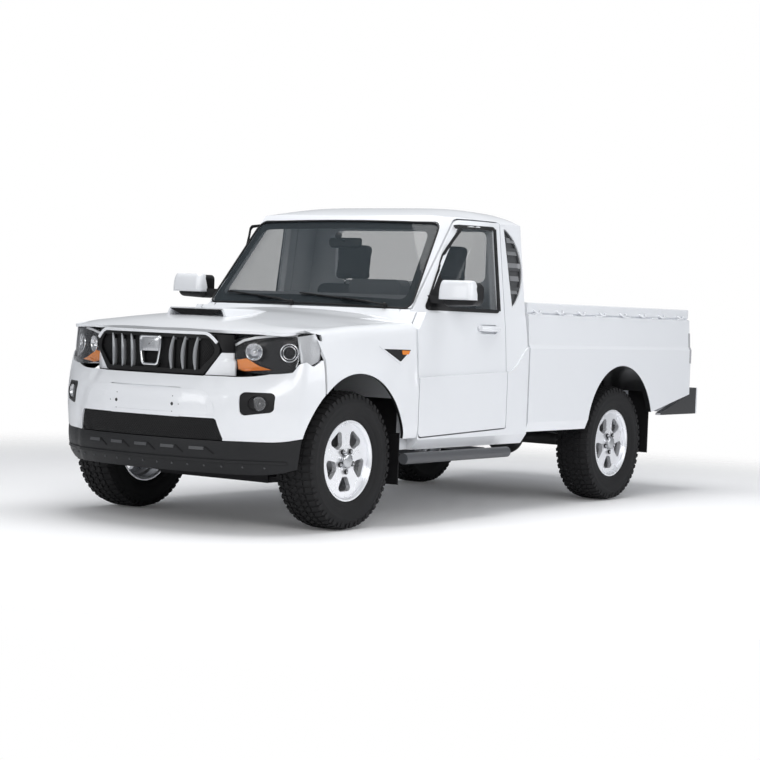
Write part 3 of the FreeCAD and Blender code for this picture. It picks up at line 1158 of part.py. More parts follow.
bed_side = prism(bed_side_section(), "front", bed_rear, bed_front)
arch_axis = Vector(rear_axle_x, d.wheelhouse_inner_half + d.wheelhouse_wall, d.rear_arch_height)
arch_space = Part.makeCylinder(d.rear_arch_radius, d.overrun, arch_axis, Vector(0, 1, 0))
house_axis = Vector(rear_axle_x, d.wheelhouse_inner_half, d.rear_arch_height)
wheelhouse = Part.makeCylinder(d.rear_arch_radius + d.wheelhouse_wall, d.bed_inner_half + d.bed_skin / 2
                               - d.wheelhouse_inner_half, house_axis, Vector(0, 1, 0))
wheelhouse = wheelhouse.cut(block(-d.overrun, d.overrun, 0, d.overrun, 0, bed_floor_base))
tail_cut = prism([(tail_start, d.bed_tail_start_height), (bed_rear, d.bed_tail_height),
                  (bed_rear - d.overrun, d.bed_tail_height), (bed_rear - d.overrun, 0),
                  (tail_start + d.rear_arch_radius / 2, 0),
                  (tail_start + d.rear_arch_radius / 2, d.bed_tail_start_height)],
                 "side", 0, d.overrun)
floor_rear = back(bed_rear_back - d.tailgate_hinge_inset) + d.tailgate_thick
bed_floor = block(floor_rear, bed_front, -d.bed_inner_half - d.bed_skin / 2,
                  d.bed_inner_half + d.bed_skin / 2,
                  bed_floor_base, d.bed_floor_height)
rear_sill = block(bed_rear + d.bed_skin, floor_rear + d.rear_sill_depth,
                  -d.bed_inner_half - d.bed_skin / 2, d.bed_inner_half + d.bed_skin / 2,
                  bed_floor_base - d.rear_sill_depth, bed_floor_base + d.seat_gap * 2)
front_wall = block(bed_front - d.bed_front_wall, bed_front, -d.bed_inner_half - d.bed_skin / 2,
                   d.bed_inner_half + d.bed_skin / 2, bed_floor_base, d.bed_rail_height - d.shut_gap)
lamp_place = block(bed_rear - d.overrun, bed_rear + d.tail_lamp_depth, d.body_half - d.tail_lamp_width,
                   d.overrun,
                   d.tail_lamp_base, d.tail_lamp_top)
bed_left = bed_side.fuse(wheelhouse).cut(arch_space).cut(tail_cut).cut(lamp_place)
hook_first, hook_last = bed_front - d.hook_first, bed_rear + d.hook_last
hooks = []
for i in range(int(d.hook_count)):
    x = hook_first + (hook_last - hook_first) * i / (d.hook_count - 1)
    reach = d.bed_rail_half + d.hook_stand - d.hook_bar
    level = d.bed_shoulder_height + d.hook_bar
    hooks.append(Part.makeCylinder(d.hook_bar, d.hook_length, Vector(x - d.hook_length / 2, reach, level),
                                   Vector(1, 0, 0)))
    for end in (x - d.hook_length / 2, x + d.hook_length / 2 - 2 * d.hook_bar):
        hooks.append(block(end, end + 2 * d.hook_bar, d.bed_rail_inner_half, reach, level - d.hook_bar,
                           level + d.hook_bar))
bed_left = bed_left.fuse(hooks)
rail_room = block(bed_rear, floor_rear + d.rear_sill_depth + d.seat_gap,
                  d.rail_half - d.rail_width / 2 - d.seat_gap,
                  d.rail_half + d.rail_width / 2 + d.seat_gap, 0,
                  d.rail_kick_height + d.rail_depth + d.seat_gap)
bed = bed_floor.fuse([rear_sill, front_wall, bed_left, flipped(bed_left)])
bed = largest(bed.cut([arch_space, flipped(arch_space), rail_room, flipped(rail_room)]))
shaped("load_bed", bed)

# tail lamps, which fill the rear corners of the bed's sides
lamp_body = prism(bed_side_section(), "front", bed_rear - d.shut_gap,
                  bed_rear + d.tail_lamp_depth - d.seat_gap)
tail_lamp = lamp_body.common(block(-d.overrun, d.overrun, d.body_half - d.tail_lamp_width + d.seat_gap,
                                   d.overrun,
                                   d.tail_lamp_base + d.seat_gap, d.tail_lamp_top - d.seat_gap))
shaped("tail_lamps", both(largest(tail_lamp)))

# Tailgate: a pressed panel between the bed's sides, hinged along its foot
gate_rear = back(bed_rear_back)
gate = block(gate_rear, gate_rear + d.tailgate_thick, -d.tailgate_half, d.tailgate_half, d.tailgate_base,
             d.tailgate_top)
recess = prism([(-d.tailgate_half * 0.86, d.tailgate_base + d.tailgate_handle, d.tailgate_thick),
                (d.tailgate_half * 0.86, d.tailgate_base + d.tailgate_handle, d.tailgate_thick),
                (d.tailgate_half * 0.86, d.tailgate_top - d.tailgate_handle * 1.2, d.tailgate_thick),
                (-d.tailgate_half * 0.86, d.tailgate_top - d.tailgate_handle * 1.2, d.tailgate_thick)],
               "front", gate_rear, gate_rear + d.tailgate_panel)
gate_top = d.tailgate_top - d.tailgate_handle * 0.55
gate_handle = block(gate_rear - d.tailgate_panel, gate_rear, -d.tailgate_handle, d.tailgate_handle,
                    gate_top - d.tailgate_handle / 4, gate_top + d.tailgate_handle / 4)
gate_pin = Part.makeCylinder(d.shut_gap, d.bed_inner_half - d.tailgate_half - d.seat_gap,
                             Vector(back(bed_rear_back - d.tailgate_hinge_inset), d.tailgate_half,
                                    d.tailgate_hinge_height),
                             Vector(0, 1, 0))
tailgate = gate.cut(recess).fuse([gate_handle, gate_pin, flipped(gate_pin)])
shaped("tailgate", largest(tailgate))

# Rear bumper: a bar between swept end caps that reach forward under the bed's sides
rear_line = -d.overall_length / 2
cap_front = back(bed_rear_back - d.bumper_cap_run)
bar_points = [(rear_line, 0), (rear_line + d.bumper_rear_sweep, d.bumper_rear_half, d.bumper_cap_thick),
              (rear_line + d.bumper_rear_sweep * 1.5, d.bumper_cap_half, d.bumper_cap_thick * 1.2),
              (cap_front, d.bumper_cap_half),
              (cap_front, d.bumper_cap_half - d.bumper_cap_thick),
              (rear_line + d.bumper_rear_sweep + d.bumper_rear_depth,
               d.bumper_cap_half - d.bumper_cap_thick),
              (rear_line + d.bumper_rear_sweep + d.bumper_rear_depth, 0)]
rear_half = prism(bar_points, "top", d.bumper_rear_base, d.bumper_rear_top)
cap_line = prism([(cap_front, d.bumper_rear_base + d.crease_step),
                  (back(bed_rear_back), d.bed_tail_height - d.shut_gap), (back(bed_rear_back), d.overrun),
                  (d.overrun, d.overrun), (d.overrun, d.bumper_rear_base)], "side", 0, d.overrun)
cap_line = cap_line.cut(block(-d.overrun, d.overrun, 0, d.bumper_rear_half, 0, d.overrun))
step_well = block(rear_line - d.bumper_rear_sweep, rear_line + d.bumper_rear_depth, 0,
                  d.bumper_rear_half / 2,
                  d.bumper_rear_top - d.bumper_step_drop, d.overrun)
rear_half = rear_half.cut(cap_line).cut(step_well)
rear_bumper = largest(rear_half.fuse(flipped(rear_half)))
shaped("rear_bumper", rear_bumper)

# Side steps: a tube along each sill on two arms from the frame
step_body = []
for side in (LEFT, RIGHT):
    name = "l" if side > 0 else "r"
    tube = cylinder(f"step_tube_{name}", "step_radius", "step_rear_back - step_front_back",
                    f"{FRONT_AXLE} - step_rear_back", f"{side} * step_half", "step_height", axis="x")
    arms = [cylinder(f"step_arm_{name}_{i}", "step_arm_radius",
                     "step_half - rail_half - rail_width / 2 - seat_gap",
                     f"{FRONT_AXLE} - step_arm_first_back - {i} * step_arm_pitch",
                     "rail_half + rail_width / 2 + seat_gap" if side > 0 else "-step_half",
                     "step_arm_height", axis="y") for i in range(2)]
    step_body.append(fused(f"step_{name}", tube, *arms))
node(together("steps", *step_body), "side_steps")

# Mud flaps behind each wheel, each hung from the body over it
flaps = []
for side in (LEFT, RIGHT):
    name = "l" if side > 0 else "r"
    low_y = "flap_inner_half" if side > 0 else "-flap_outer_half"
    flaps.append(box(f"front_flap_{name}", "flap_thick", "flap_outer_half - flap_inner_half",
                     "front_flap_top - front_flap_base", f"{FRONT_AXLE} - cab_front_back + seat_gap", low_y,
                     "front_flap_base"))
    flaps.append(box(f"rear_flap_{name}", "flap_thick", "flap_outer_half - flap_inner_half",
                     "bed_floor_height - bed_floor_thick - rear_flap_base - seat_gap",
                     f"{FRONT_AXLE} - rear_flap_back", low_y, "rear_flap_base"))
flap_solids = together("flaps", *flaps)
node(flap_solids, "mud_flaps")


# Rear axle: tube, differential, drums, spindles and leaf springs on their hanger pins
axle_z = d.tyre_radius
drum_face = half_track - d.wheel_well - d.flange_gap
axle_solids = [Part.makeCylinder(d.axle_tube_radius, 2 * drum_face, Vector(rear_axle_x, -drum_face, axle_z),
                                 Vector(0, 1, 0))]
ball = Part.makeSphere(d.differential_radius, Vector(rear_axle_x, 0, axle_z))
axle_solids.append(ball.common(block(-d.overrun, d.overrun, -d.differential_width / 2,
                                     d.differential_width / 2,
                                     0, d.overrun)))
nose_length = d.differential_radius * 1.5
axle_solids.append(Part.makeCone(d.differential_radius * 0.6, d.propshaft_radius * 1.2, nose_length,
                                 Vector(rear_axle_x, 0, axle_z), Vector(1, 0, 0)))
for side in (LEFT, RIGHT):
    drum_start = side * (drum_face - d.drum_width)
    axle_solids.append(Part.makeCylinder(d.drum_radius, d.drum_width,
                                         Vector(rear_axle_x, drum_start, axle_z),
                                         Vector(0, side, 0)))
    axle_solids.append(Part.makeCylinder(d.spindle_radius, d.hub_length,
                                         Vector(rear_axle_x, side * drum_face, axle_z),
                                         Vector(0, side, 0)))


def leaf_spring(side):
    """A bowed pack of leaves on top of the axle, with a pin at each eye to the frame's rail."""
    reach, eye, thick = d.spring_reach, d.spring_eye_height, d.spring_thick
    low = axle_z + d.axle_tube_radius * 0.9
    start = side * d.spring_half - d.spring_width / 2
    ends = [Vector(rear_axle_x + end * reach, start, eye) for end in (-1, 1)]
    upper = [p + Vector(0, 0, thick / 3) for p in ends]
    bottom = Part.Arc(ends[0], Vector(rear_axle_x, start, low), ends[1]).toShape()
    top = Part.Arc(upper[1], Vector(rear_axle_x, start, low + thick * 1.5), upper[0]).toShape()
    wire = Part.Wire([bottom, Part.makeLine(ends[1], upper[1]), top, Part.makeLine(upper[0], ends[0])])
    spring = [Part.Face(wire).extrude(Vector(0, d.spring_width, 0))]
    for end in (-1, 1):
        centre = Vector(rear_axle_x + end * reach, 0, eye)
        spring.append(Part.makeCylinder(d.spring_eye_radius, d.spring_width, centre + Vector(0, start, 0),
                                        Vector(0, 1, 0)))
        root = d.rail_half + d.rail_width / 2 + d.seat_gap
        spring.append(Part.makeCylinder(d.pin_radius, d.spring_half - root,
                                        centre + Vector(0, side * root, 0),
                                        Vector(0, side, 0)))
    return spring


for side in (LEFT, RIGHT):
    axle_solids += leaf_spring(side)
rear_axle = axle_solids[0].fuse(axle_solids[1:])
shaped("rear_axle", largest(rear_axle))

# Propshaft from the gearbox to the axle's nose
gearbox_rear = ahead(d.engine_ahead - d.engine_length - d.gearbox_length)
gearbox_low = d.rail_mid_height + 2 * d.cross_tube_radius
gearbox_middle = (gearbox_low + d.cab_floor_height - d.gearbox_clearance) / 2
shaft_start = Vector(gearbox_rear, 0, gearbox_middle)
shaft_end = Vector(rear_axle_x + nose_length, 0, axle_z)
shaft_way = (shaft_end - shaft_start).normalize()
shaft = Part.makeCylinder(d.propshaft_radius, (shaft_end - shaft_start).Length + 2 * d.propshaft_radius,
                          shaft_start - shaft_way * d.propshaft_radius, shaft_way)
shaped("propshaft", shaft.common(block(shaft_end.x + d.seat_gap, gearbox_rear - d.seat_gap, -d.rail_half,
                                       d.rail_half,
                                       0, d.overrun)))

# Front suspension: crossmember under the engine, lower and upper arms with an eye round each kingpin
low_eye_z, high_eye_z = axle_z - d.ball_height, axle_z + d.ball_height
rail_side = d.rail_half + d.rail_width / 2


def arm(root_y, eye_z):
    """A tapered arm from a root to the eye round the kingpin."""
    tip_y = d.kingpin_half
    plate = prism([(front_axle_x - d.arm_root_half_length, root_y),
                   (front_axle_x + d.arm_root_half_length, root_y),
                   (front_axle_x + d.arm_tip_half_length, tip_y),
                   (front_axle_x - d.arm_tip_half_length, tip_y)],
                  "top", eye_z - d.arm_thick / 2, eye_z + d.arm_thick / 2)
    hollow = prism([(front_axle_x - d.arm_root_half_length * 0.55, root_y + d.arm_tip_half_length),
                    (front_axle_x + d.arm_root_half_length * 0.55, root_y + d.arm_tip_half_length),
                    (front_axle_x, root_y + (tip_y - root_y) * 0.62)],
                   "top", eye_z - d.arm_thick, eye_z + d.arm_thick)
    eye = Part.makeCylinder(d.eye_radius, d.arm_thick, Vector(front_axle_x, tip_y, eye_z - d.arm_thick / 2))
    bore = Part.makeCylinder(d.pin_radius + d.running_fit, d.arm_thick * 2,
                             Vector(front_axle_x, tip_y, eye_z - d.arm_thick))
    return plate.cut(hollow).fuse(eye).cut(bore)


lower_arm = arm(rail_side - d.arm_thick, low_eye_z)
upper_arm = arm(rail_side + d.seat_gap, high_eye_z)
crossmember = block(front_axle_x - d.subframe_half_length, front_axle_x + d.subframe_half_length,
                    -rail_side, rail_side, d.subframe_base, d.subframe_base + d.subframe_depth)
post = block(front_axle_x - d.subframe_post, front_axle_x + d.subframe_post,
             d.rail_half - d.rail_width / 2, rail_side,
             d.subframe_base + d.subframe_depth / 2, d.rail_front_height - d.seat_gap)
front_beam = crossmember.fuse([post, flipped(post), lower_arm, flipped(lower_arm)])
shaped("front_suspension", Part.Compound([largest(front_beam), upper_arm, flipped(upper_arm)]))

# Knuckles: a post between the eyes with a pin in each, the brake disc and the spindle that carries the wheel
knuckle_low, knuckle_high = low_eye_z + d.arm_thick / 2 + d.eye_gap, high_eye_z - d.arm_thick / 2 - d.eye_gap
spindle_face = half_track - d.wheel_well - d.flange_gap


def knuckle():
    post_solid = Part.makeCylinder(d.knuckle_radius, knuckle_high - knuckle_low,
                                   Vector(front_axle_x, d.kingpin_half, knuckle_low))
    pin_low, pin_high = low_eye_z - d.pin_length / 2, high_eye_z + d.pin_length / 2
    pin = Part.makeCylinder(d.pin_radius, pin_high - pin_low, Vector(front_axle_x, d.kingpin_half, pin_low))
    centre = Vector(front_axle_x, d.kingpin_half, axle_z)
    reach = spindle_face - d.kingpin_half
    flange = Part.makeCylinder(d.flange_radius, d.flange_thick,
                               centre + Vector(0, reach - d.flange_thick, 0),
                               Vector(0, 1, 0))
    disc = Part.makeCylinder(d.disc_radius, d.disc_thick,
                             centre + Vector(0, reach - d.disc_gap - d.disc_thick / 2, 0),
                             Vector(0, 1, 0))
    spindle = Part.makeCylinder(d.spindle_radius, reach + d.hub_length, centre, Vector(0, 1, 0))
    caliper = block(front_axle_x - d.disc_radius - d.caliper_length / 4, front_axle_x - d.disc_radius / 2,
                    d.kingpin_half + reach - d.disc_gap - d.disc_thick * 1.3,
                    d.kingpin_half + reach - d.disc_gap + d.disc_thick * 1.1,
                    axle_z - d.caliper_height / 2, axle_z + d.caliper_height / 2)
    steer_arm = block(front_axle_x - d.steer_arm_length, front_axle_x,
                      d.kingpin_half - d.knuckle_radius,
                      d.kingpin_half - d.knuckle_radius + d.steer_arm_width,
                      axle_z - d.steer_arm_width * 2, axle_z - d.steer_arm_width)
    return post_solid.fuse([pin, flange, disc, spindle, caliper, steer_arm])


knuckle_left = largest(knuckle())
shaped("knuckle_left", knuckle_left)
shaped("knuckle_right", flipped(knuckle_left))


# Wheels: a revolved tyre, and a rim with barrel, spokes, hub bored for the spindle, and lug nuts
def revolved(points, centre):
    """A ring whose section is given across the wheel and out from its axis."""
    corners = [centre + Vector(0, p[0], p[1]) for p in points]
    wire = Part.Wire([Part.makeLine(corners[i - 1], corners[i]) for i in range(len(corners))])
    return Part.Face(wire).revolve(centre, Vector(0, 1, 0), 360)


TYRE_HALF_SHARES = ((0.82, 0.07), (0.93, 0.2), (1.0, 0.5), (0.97, 0.74), (0.9, 0.925))


def tyre_shape(centre):
    half, rise = d.tyre_width / 2, d.tyre_radius - d.bead_radius
    seat, lip_top = d.rim_width / 2 - d.lip_width - d.seat_gap, d.rim_radius + d.rim_lip + d.seat_gap
    side = [(seat, d.bead_radius), (seat, lip_top)]
    side += [(half * across, d.bead_radius + rise * up) for across, up in TYRE_HALF_SHARES]
    side += [(d.tread_half, d.tyre_radius - d.shoulder_drop / 3), (d.tread_half / 2, d.tyre_radius)]
    return revolved(side + [(-across, radius) for across, radius in reversed(side)], centre)


def rim_shape(centre, side):
    half = d.rim_width / 2
    lip, well = d.rim_radius + d.rim_lip, d.rim_radius - d.wheel_well
    inside = d.rim_wall
    profile = [(-half, lip), (-half + d.lip_width, lip), (-half + d.lip_width, d.rim_radius),
               (-half * 0.3, d.rim_radius), (-half * 0.2, well), (half * 0.3, well),
               (half * 0.4, d.rim_radius),
               (half - d.lip_width, d.rim_radius), (half - d.lip_width, lip), (half, lip),
               (half, lip - inside), (half - d.lip_width, d.rim_radius - inside),
               (half * 0.4, d.rim_radius - inside),
               (half * 0.3, well - inside), (-half * 0.2, well - inside),
               (-half * 0.3, d.rim_radius - inside),
               (-half + d.lip_width, d.rim_radius - inside), (-half, lip - inside)]
    barrel = revolved([(side * across, radius) for across, radius in profile], centre)
    face = side * (half - d.spoke_inset)
    back_face = face - side * d.spoke_thick
    disc = Part.makeCylinder(d.rim_radius - inside / 2, d.spoke_thick,
                             centre + Vector(0, min(face, back_face), 0),
                             Vector(0, 1, 0))
    for i in range(int(d.spoke_count)):
        turn = 2 * math.pi * i / d.spoke_count + math.pi / 2 + math.pi / d.spoke_count
        spread_in, spread_out = math.pi / d.spoke_count * 0.40, math.pi / d.spoke_count * 0.62
        corners = []
        for radius, angle in ((d.window_inner, -spread_in), (d.window_inner, spread_in),
                              (d.window_outer, spread_out), (d.window_outer, -spread_out)):
            corners.append((centre.x + radius * math.cos(turn + angle),
                            centre.z + radius * math.sin(turn + angle),
                            d.window_round))
        disc = disc.cut(prism(corners, "side", centre.y + min(face, back_face) - d.spoke_thick,
                              centre.y + max(face, back_face) + d.spoke_thick))
    hub_start = back_face - side * (d.hub_length - d.spoke_thick)
    hub = Part.makeCylinder(d.hub_radius, d.hub_length - d.cap_height, centre + Vector(0, hub_start, 0),
                            Vector(0, side, 0))
    cap = Part.makeCylinder(d.cap_radius, d.cap_height * 2,
                            centre + Vector(0, face - side * d.cap_height, 0),
                            Vector(0, side, 0))
    lugs = []
    for i in range(int(d.lug_count)):
        turn = 2 * math.pi * i / d.lug_count + math.pi / 2
        spot = centre + Vector(d.lug_circle * math.cos(turn), face - side * d.lug_height * 1.5,
                               d.lug_circle * math.sin(turn))
        lugs.append(Part.makeCylinder(d.lug_radius, d.lug_height * 1.5 + d.lug_height / 2, spot,
                                      Vector(0, side, 0)))
    bore = Part.makeCylinder(d.spindle_radius + d.running_fit, d.hub_length + d.running_fit,
                             centre + Vector(0, hub_start - side, 0), Vector(0, side, 0))
    return barrel.fuse([disc, hub, cap] + lugs).cut(bore)


for end, x in (("front", front_axle_x), ("rear", rear_axle_x)):
    for name, side in (("left", LEFT), ("right", RIGHT)):
        centre = Vector(x, side * half_track, axle_z)
        shaped(f"tyre_{end}_{name}", tyre_shape(centre))
        shaped(f"rim_{end}_{name}", rim_shape(centre, side))


# Engine bay: the aprons inside the wings with their shelves, and the radiator panel across the front
wing_pair = both(wing)
bay_rear = back(d.cab_front_back) + d.seat_gap
bay_parts = []
apron = block(bay_rear, ahead(d.radiator_ahead), d.apron_half - d.apron_thick, d.apron_half,
              d.rail_front_height + d.rail_depth + d.seat_gap, d.apron_top)
shelf = block(bay_rear, ahead(d.wing_front_ahead - d.wing_gap), d.apron_half - d.apron_thick,
              d.wing_shoulder_half - d.wing_thick / 4, d.apron_top - d.shelf_thick, d.apron_top)
apron = largest(apron.fuse(shelf).cut(wing))
radiator = prism([(-d.radiator_half, d.rail_front_height + d.rail_depth + d.seat_gap),
                  (d.radiator_half, d.rail_front_height + d.rail_depth + d.seat_gap),
                  (d.radiator_half, d.radiator_shoulder_height), (d.apron_half, d.radiator_top),
                  (-d.apron_half, d.radiator_top), (-d.radiator_half, d.radiator_shoulder_height)],
                 "front", ahead(d.radiator_ahead - d.seat_gap), ahead(d.radiator_ahead + d.radiator_thick))
bracket_z = (d.grille_base + d.grille_top) / 2
grille_bracket = block(ahead(d.radiator_ahead), ahead(d.grille_ahead - d.mesh_inset), d.shield_half,
                       d.shield_half * 2,
                       bracket_z - d.shelf_thick, bracket_z + d.shelf_thick)
engine_bay = apron.fuse([flipped(apron), radiator, grille_bracket, flipped(grille_bracket)])
engine_bay = largest(engine_bay.cut([lamp, flipped(lamp), grille, under_bonnet]))

# brackets between the beam on the frame and the bumper's skins
beam_front = ahead(d.rail_front_ahead + d.front_beam_depth)
bracket = block(beam_front + d.seat_gap, ahead(d.nose_ahead), d.beam_bracket_half - d.rail_width / 2,
                d.beam_bracket_half + d.rail_width / 2, d.rail_front_height + d.shelf_thick,
                d.intake_base - d.valance_gap)
bracket = bracket.cut([bumper, valance])
bracket = min((s for s in bracket.Solids if s.Volume > d.rail_width ** 2), key=lambda s: s.BoundBox.XMin)
shaped("engine_bay", Part.Compound([engine_bay, bracket, flipped(bracket)]))

# Cowl: the panel between the bonnet's rear edge and the windscreen's foot
cowl = block(back(d.screen_base_back + d.screen_sag), back(d.cab_front_back + d.firewall_thick / 2),
             -d.bonnet_half * 0.9,
             d.bonnet_half * 0.9, d.cowl_height + d.seat_gap, d.cowl_height + d.cowl_rise)
shaped("cowl", largest(cowl.cut([outer, under_bonnet, behind_bonnet] + bonnet_swing)))

# Dashboard with its binnacle, and the steering column that ends at the wheel
tilt = math.atan(d.column_tilt_rise)
column_way = Vector(-math.cos(tilt), 0, math.sin(tilt))
wheel_centre = Vector(back(d.wheel_hub_back), d.wheel_hub_half, d.wheel_hub_height)
inner_front_x = back(inner_front)
dash_points = [(inner_front_x - d.seat_gap, d.dash_base),
               (inner_front_x - d.seat_gap, d.cowl_height - d.cowl_wall * 1.5),
               (back(d.screen_base_back + d.cowl_wall), d.cowl_height - d.cowl_wall),
               (back(d.screen_base_back + d.cowl_wall * 4), d.screen_base_height),
               (back(d.screen_base_back + d.cowl_wall * 6.2), d.dash_top - d.cowl_wall / 2),
               (back(d.dash_rear_back - d.cowl_wall), d.dash_top - d.cowl_wall / 2, d.cowl_wall / 2),
               (back(d.dash_rear_back), d.dash_top - d.cowl_wall * 1.8, d.cowl_wall / 2),
               (back(d.dash_rear_back - d.cowl_wall * 1.5), d.dash_base + d.cowl_wall, d.cowl_wall / 2),
               (back(d.screen_base_back + d.cowl_wall), d.dash_base)]
dash = prism(dash_points, "side", -d.dash_half, d.dash_half)
binnacle_low, binnacle_high = d.dash_top - d.cowl_wall, d.dash_top + d.binnacle_height
binnacle = prism([(d.wheel_hub_half - d.binnacle_half_width, binnacle_low),
                  (d.wheel_hub_half + d.binnacle_half_width, binnacle_low),
                  (d.wheel_hub_half + d.binnacle_half_width, binnacle_high, d.binnacle_height * 0.6),
                  (d.wheel_hub_half - d.binnacle_half_width, binnacle_high, d.binnacle_height * 0.6)],
                 "front", back(d.dash_rear_back), back(d.dash_rear_back - d.cowl_wall * 2.6))
column_start = wheel_centre - column_way * (d.steering_boss_depth + d.column_gap)
column = Part.makeCylinder(d.column_radius, d.wheel_hub_back - d.dash_rear_back + d.cowl_wall * 2,
                           column_start,
                           column_way * -1)
dash = dash.common(inside_wall(d.cab_wall + d.moving_gap))
column_bore = Part.makeCylinder(d.steering_shaft_radius + d.running_fit, d.steering_shaft_length * 2,
                                wheel_centre, column_way * -1)
dashboard = dash.fuse([binnacle, column]).cut(column_bore)
shaped("dashboard", largest(dashboard))

# Steering wheel, drawn flat and then leant along its column
boss = Part.makeCylinder(d.steering_boss, d.steering_boss_depth, Vector(0, 0, -d.steering_boss_depth))
ring = Part.makeTorus(d.steering_radius, d.steering_rim)
spokes = [Part.makeBox(d.steering_radius, d.steering_rim * 2, d.steering_rim, Vector(0, -d.steering_rim,
                                                                                     -d.steering_rim))
          for i in range(3)]
for i, spoke in enumerate(spokes):
    spoke.rotate(Vector(0, 0, 0), Vector(0, 0, 1), 90 + i * 90)
steering_shaft = Part.makeCylinder(d.steering_shaft_radius, d.steering_shaft_length,
                                   Vector(0, 0, -d.steering_boss_depth - d.steering_shaft_length))
steering = ring.fuse([boss, steering_shaft] + spokes)
steering = largest(steering)
steering.Placement = FreeCAD.Placement(wheel_centre, FreeCAD.Rotation(Vector(0, 0, 1), column_way))
shaped("steering_wheel", steering)

# Seats: cushion, reclined back and headrest on a plinth, one for each side
floor_top = d.cab_floor_height + d.cab_floor_thick + d.seat_gap


def seat_shape(side):
    left = side * d.seat_half - d.seat_width / 2
    front, rear = back(d.seat_front_back), back(d.seat_front_back + d.cushion_length)
    cushion = prism([(front, d.seat_base, d.seat_round),
                     (front, d.seat_base + d.cushion_thick, d.seat_round * 1.6),
                     (rear, d.seat_base + d.cushion_thick * 0.8), (rear, d.seat_base)],
                    "side", left, left + d.seat_width)
    lean = d.seat_recline
    top = d.seat_back_top
    rest = prism([(rear + d.seat_back_thick, d.seat_base + d.cushion_thick * 0.6, d.seat_round),
                  (rear + d.seat_back_thick - lean, top, d.seat_round), (rear - lean, top, d.seat_round),
                  (rear, d.seat_base + d.cushion_thick * 0.3, d.seat_round)], "side", left,
                 left + d.seat_width)
    head = prism([(rear + d.headrest_thick - lean, top - d.seat_round),
                  (rear + d.headrest_thick - lean * 1.2,
                                                                          d.headrest_top, d.seat_round),
                  (rear - lean * 1.2, d.headrest_top, d.seat_round), (rear - lean, top - d.seat_round)],
                 "side", side * d.seat_half - d.headrest_width / 2,
                 side * d.seat_half + d.headrest_width / 2)
    plinth = block(rear + d.seat_plinth_inset, front - d.seat_plinth_inset, left + d.seat_plinth_inset,
                   left + d.seat_width - d.seat_plinth_inset, floor_top, d.seat_base + d.seat_round)
    return largest(cushion.fuse([rest, head, plinth]))


shaped("seats", Part.Compound([seat_shape(LEFT), seat_shape(RIGHT)]))

# Fuel tank beside the propshaft, silencer and pipe on the other side, spare wheel under the bed
tank_start = rail_side + d.seat_gap
tank = prism([(tank_start + d.tank_width, d.tank_base, d.tank_corner),
              (tank_start + d.tank_width, d.tank_base + d.tank_depth, d.tank_corner),
              (tank_start, d.tank_base + d.tank_depth), (tank_start, d.tank_base)], "front",
             back(d.tank_front_back + d.tank_length), back(d.tank_front_back))
shaped("fuel_tank", tank)
silencer_rear = back(d.silencer_front_back + d.silencer_length)
exhaust = Part.makeCylinder(d.silencer_radius, d.silencer_length, Vector(silencer_rear, -d.exhaust_half,
                                                                          d.exhaust_height), Vector(1, 0, 0))
front_pipe = Part.makeCylinder(d.exhaust_radius, d.silencer_front_back - d.frame_dip_back,
                               Vector(back(d.silencer_front_back), -d.exhaust_half, d.exhaust_height),
                               Vector(1, 0, 0))
tail_pipe = Part.makeCylinder(d.exhaust_radius, d.tail_pipe_length,
                              Vector(silencer_rear - d.tail_pipe_length, -d.exhaust_half, d.exhaust_height),
                              Vector(1, 0, 0))
hanger = Part.makeCylinder(d.pipe_hanger_radius, d.exhaust_half - rail_side - d.seat_gap,
                           Vector(silencer_rear + d.silencer_length / 2, -d.exhaust_half, d.exhaust_height),
                           Vector(0, 1, 0))
shaped("exhaust", exhaust.fuse([front_pipe, tail_pipe, hanger]))

spare_centre = Vector(back(bed_rear_back - d.spare_run), 0,
                      d.rail_kick_height - d.tyre_width / 2 + d.spare_rise)
spare = tyre_shape(Vector(0, 0, 0))
spare.rotate(Vector(0, 0, 0), Vector(1, 0, 0), 90)
spare.translate(spare_centre)
shaped("spare_wheel", spare)

doc.recompute()
for item in doc.Objects:
    if "Invalid" in item.State or "Error" in item.State:
        raise RuntimeError(f"{item.Label} did not build")
for item in NODES:
    if item.Shape.isNull() or not item.Shape.isValid():
        raise RuntimeError(f"{item.Label} has no valid shape")

os.makedirs("parts", exist_ok=True)
for item in NODES:
    item.Shape.exportStep(os.path.join("parts", item.Label + ".step"))
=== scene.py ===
import math

import bmesh
import bpy
from mathutils import Matrix, Vector
from mathutils.bvhtree import BVHTree
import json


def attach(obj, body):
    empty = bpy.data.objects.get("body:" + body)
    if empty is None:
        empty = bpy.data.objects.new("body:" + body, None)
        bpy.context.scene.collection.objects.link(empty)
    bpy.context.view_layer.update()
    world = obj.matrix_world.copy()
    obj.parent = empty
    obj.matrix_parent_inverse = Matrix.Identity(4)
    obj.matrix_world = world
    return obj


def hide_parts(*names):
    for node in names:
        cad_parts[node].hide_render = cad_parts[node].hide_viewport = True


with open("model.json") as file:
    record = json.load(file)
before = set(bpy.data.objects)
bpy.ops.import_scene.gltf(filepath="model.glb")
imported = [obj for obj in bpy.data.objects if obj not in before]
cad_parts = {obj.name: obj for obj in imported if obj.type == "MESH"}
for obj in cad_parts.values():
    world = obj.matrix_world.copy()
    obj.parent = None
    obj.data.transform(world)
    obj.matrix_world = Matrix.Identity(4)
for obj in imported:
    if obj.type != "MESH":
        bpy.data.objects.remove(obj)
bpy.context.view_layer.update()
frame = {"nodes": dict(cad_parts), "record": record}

AXLE_X, REAR_X, TRACK, AXLE_Z = 1.759, -1.281, 0.745, 0.387
SIDES = (("left", 1), ("right", -1))
COLOURS = {"white": (0.765, 0.782, 0.812), "black": (0.012, 0.012, 0.013), "charcoal": (0.014, 0.0145, 0.016)}


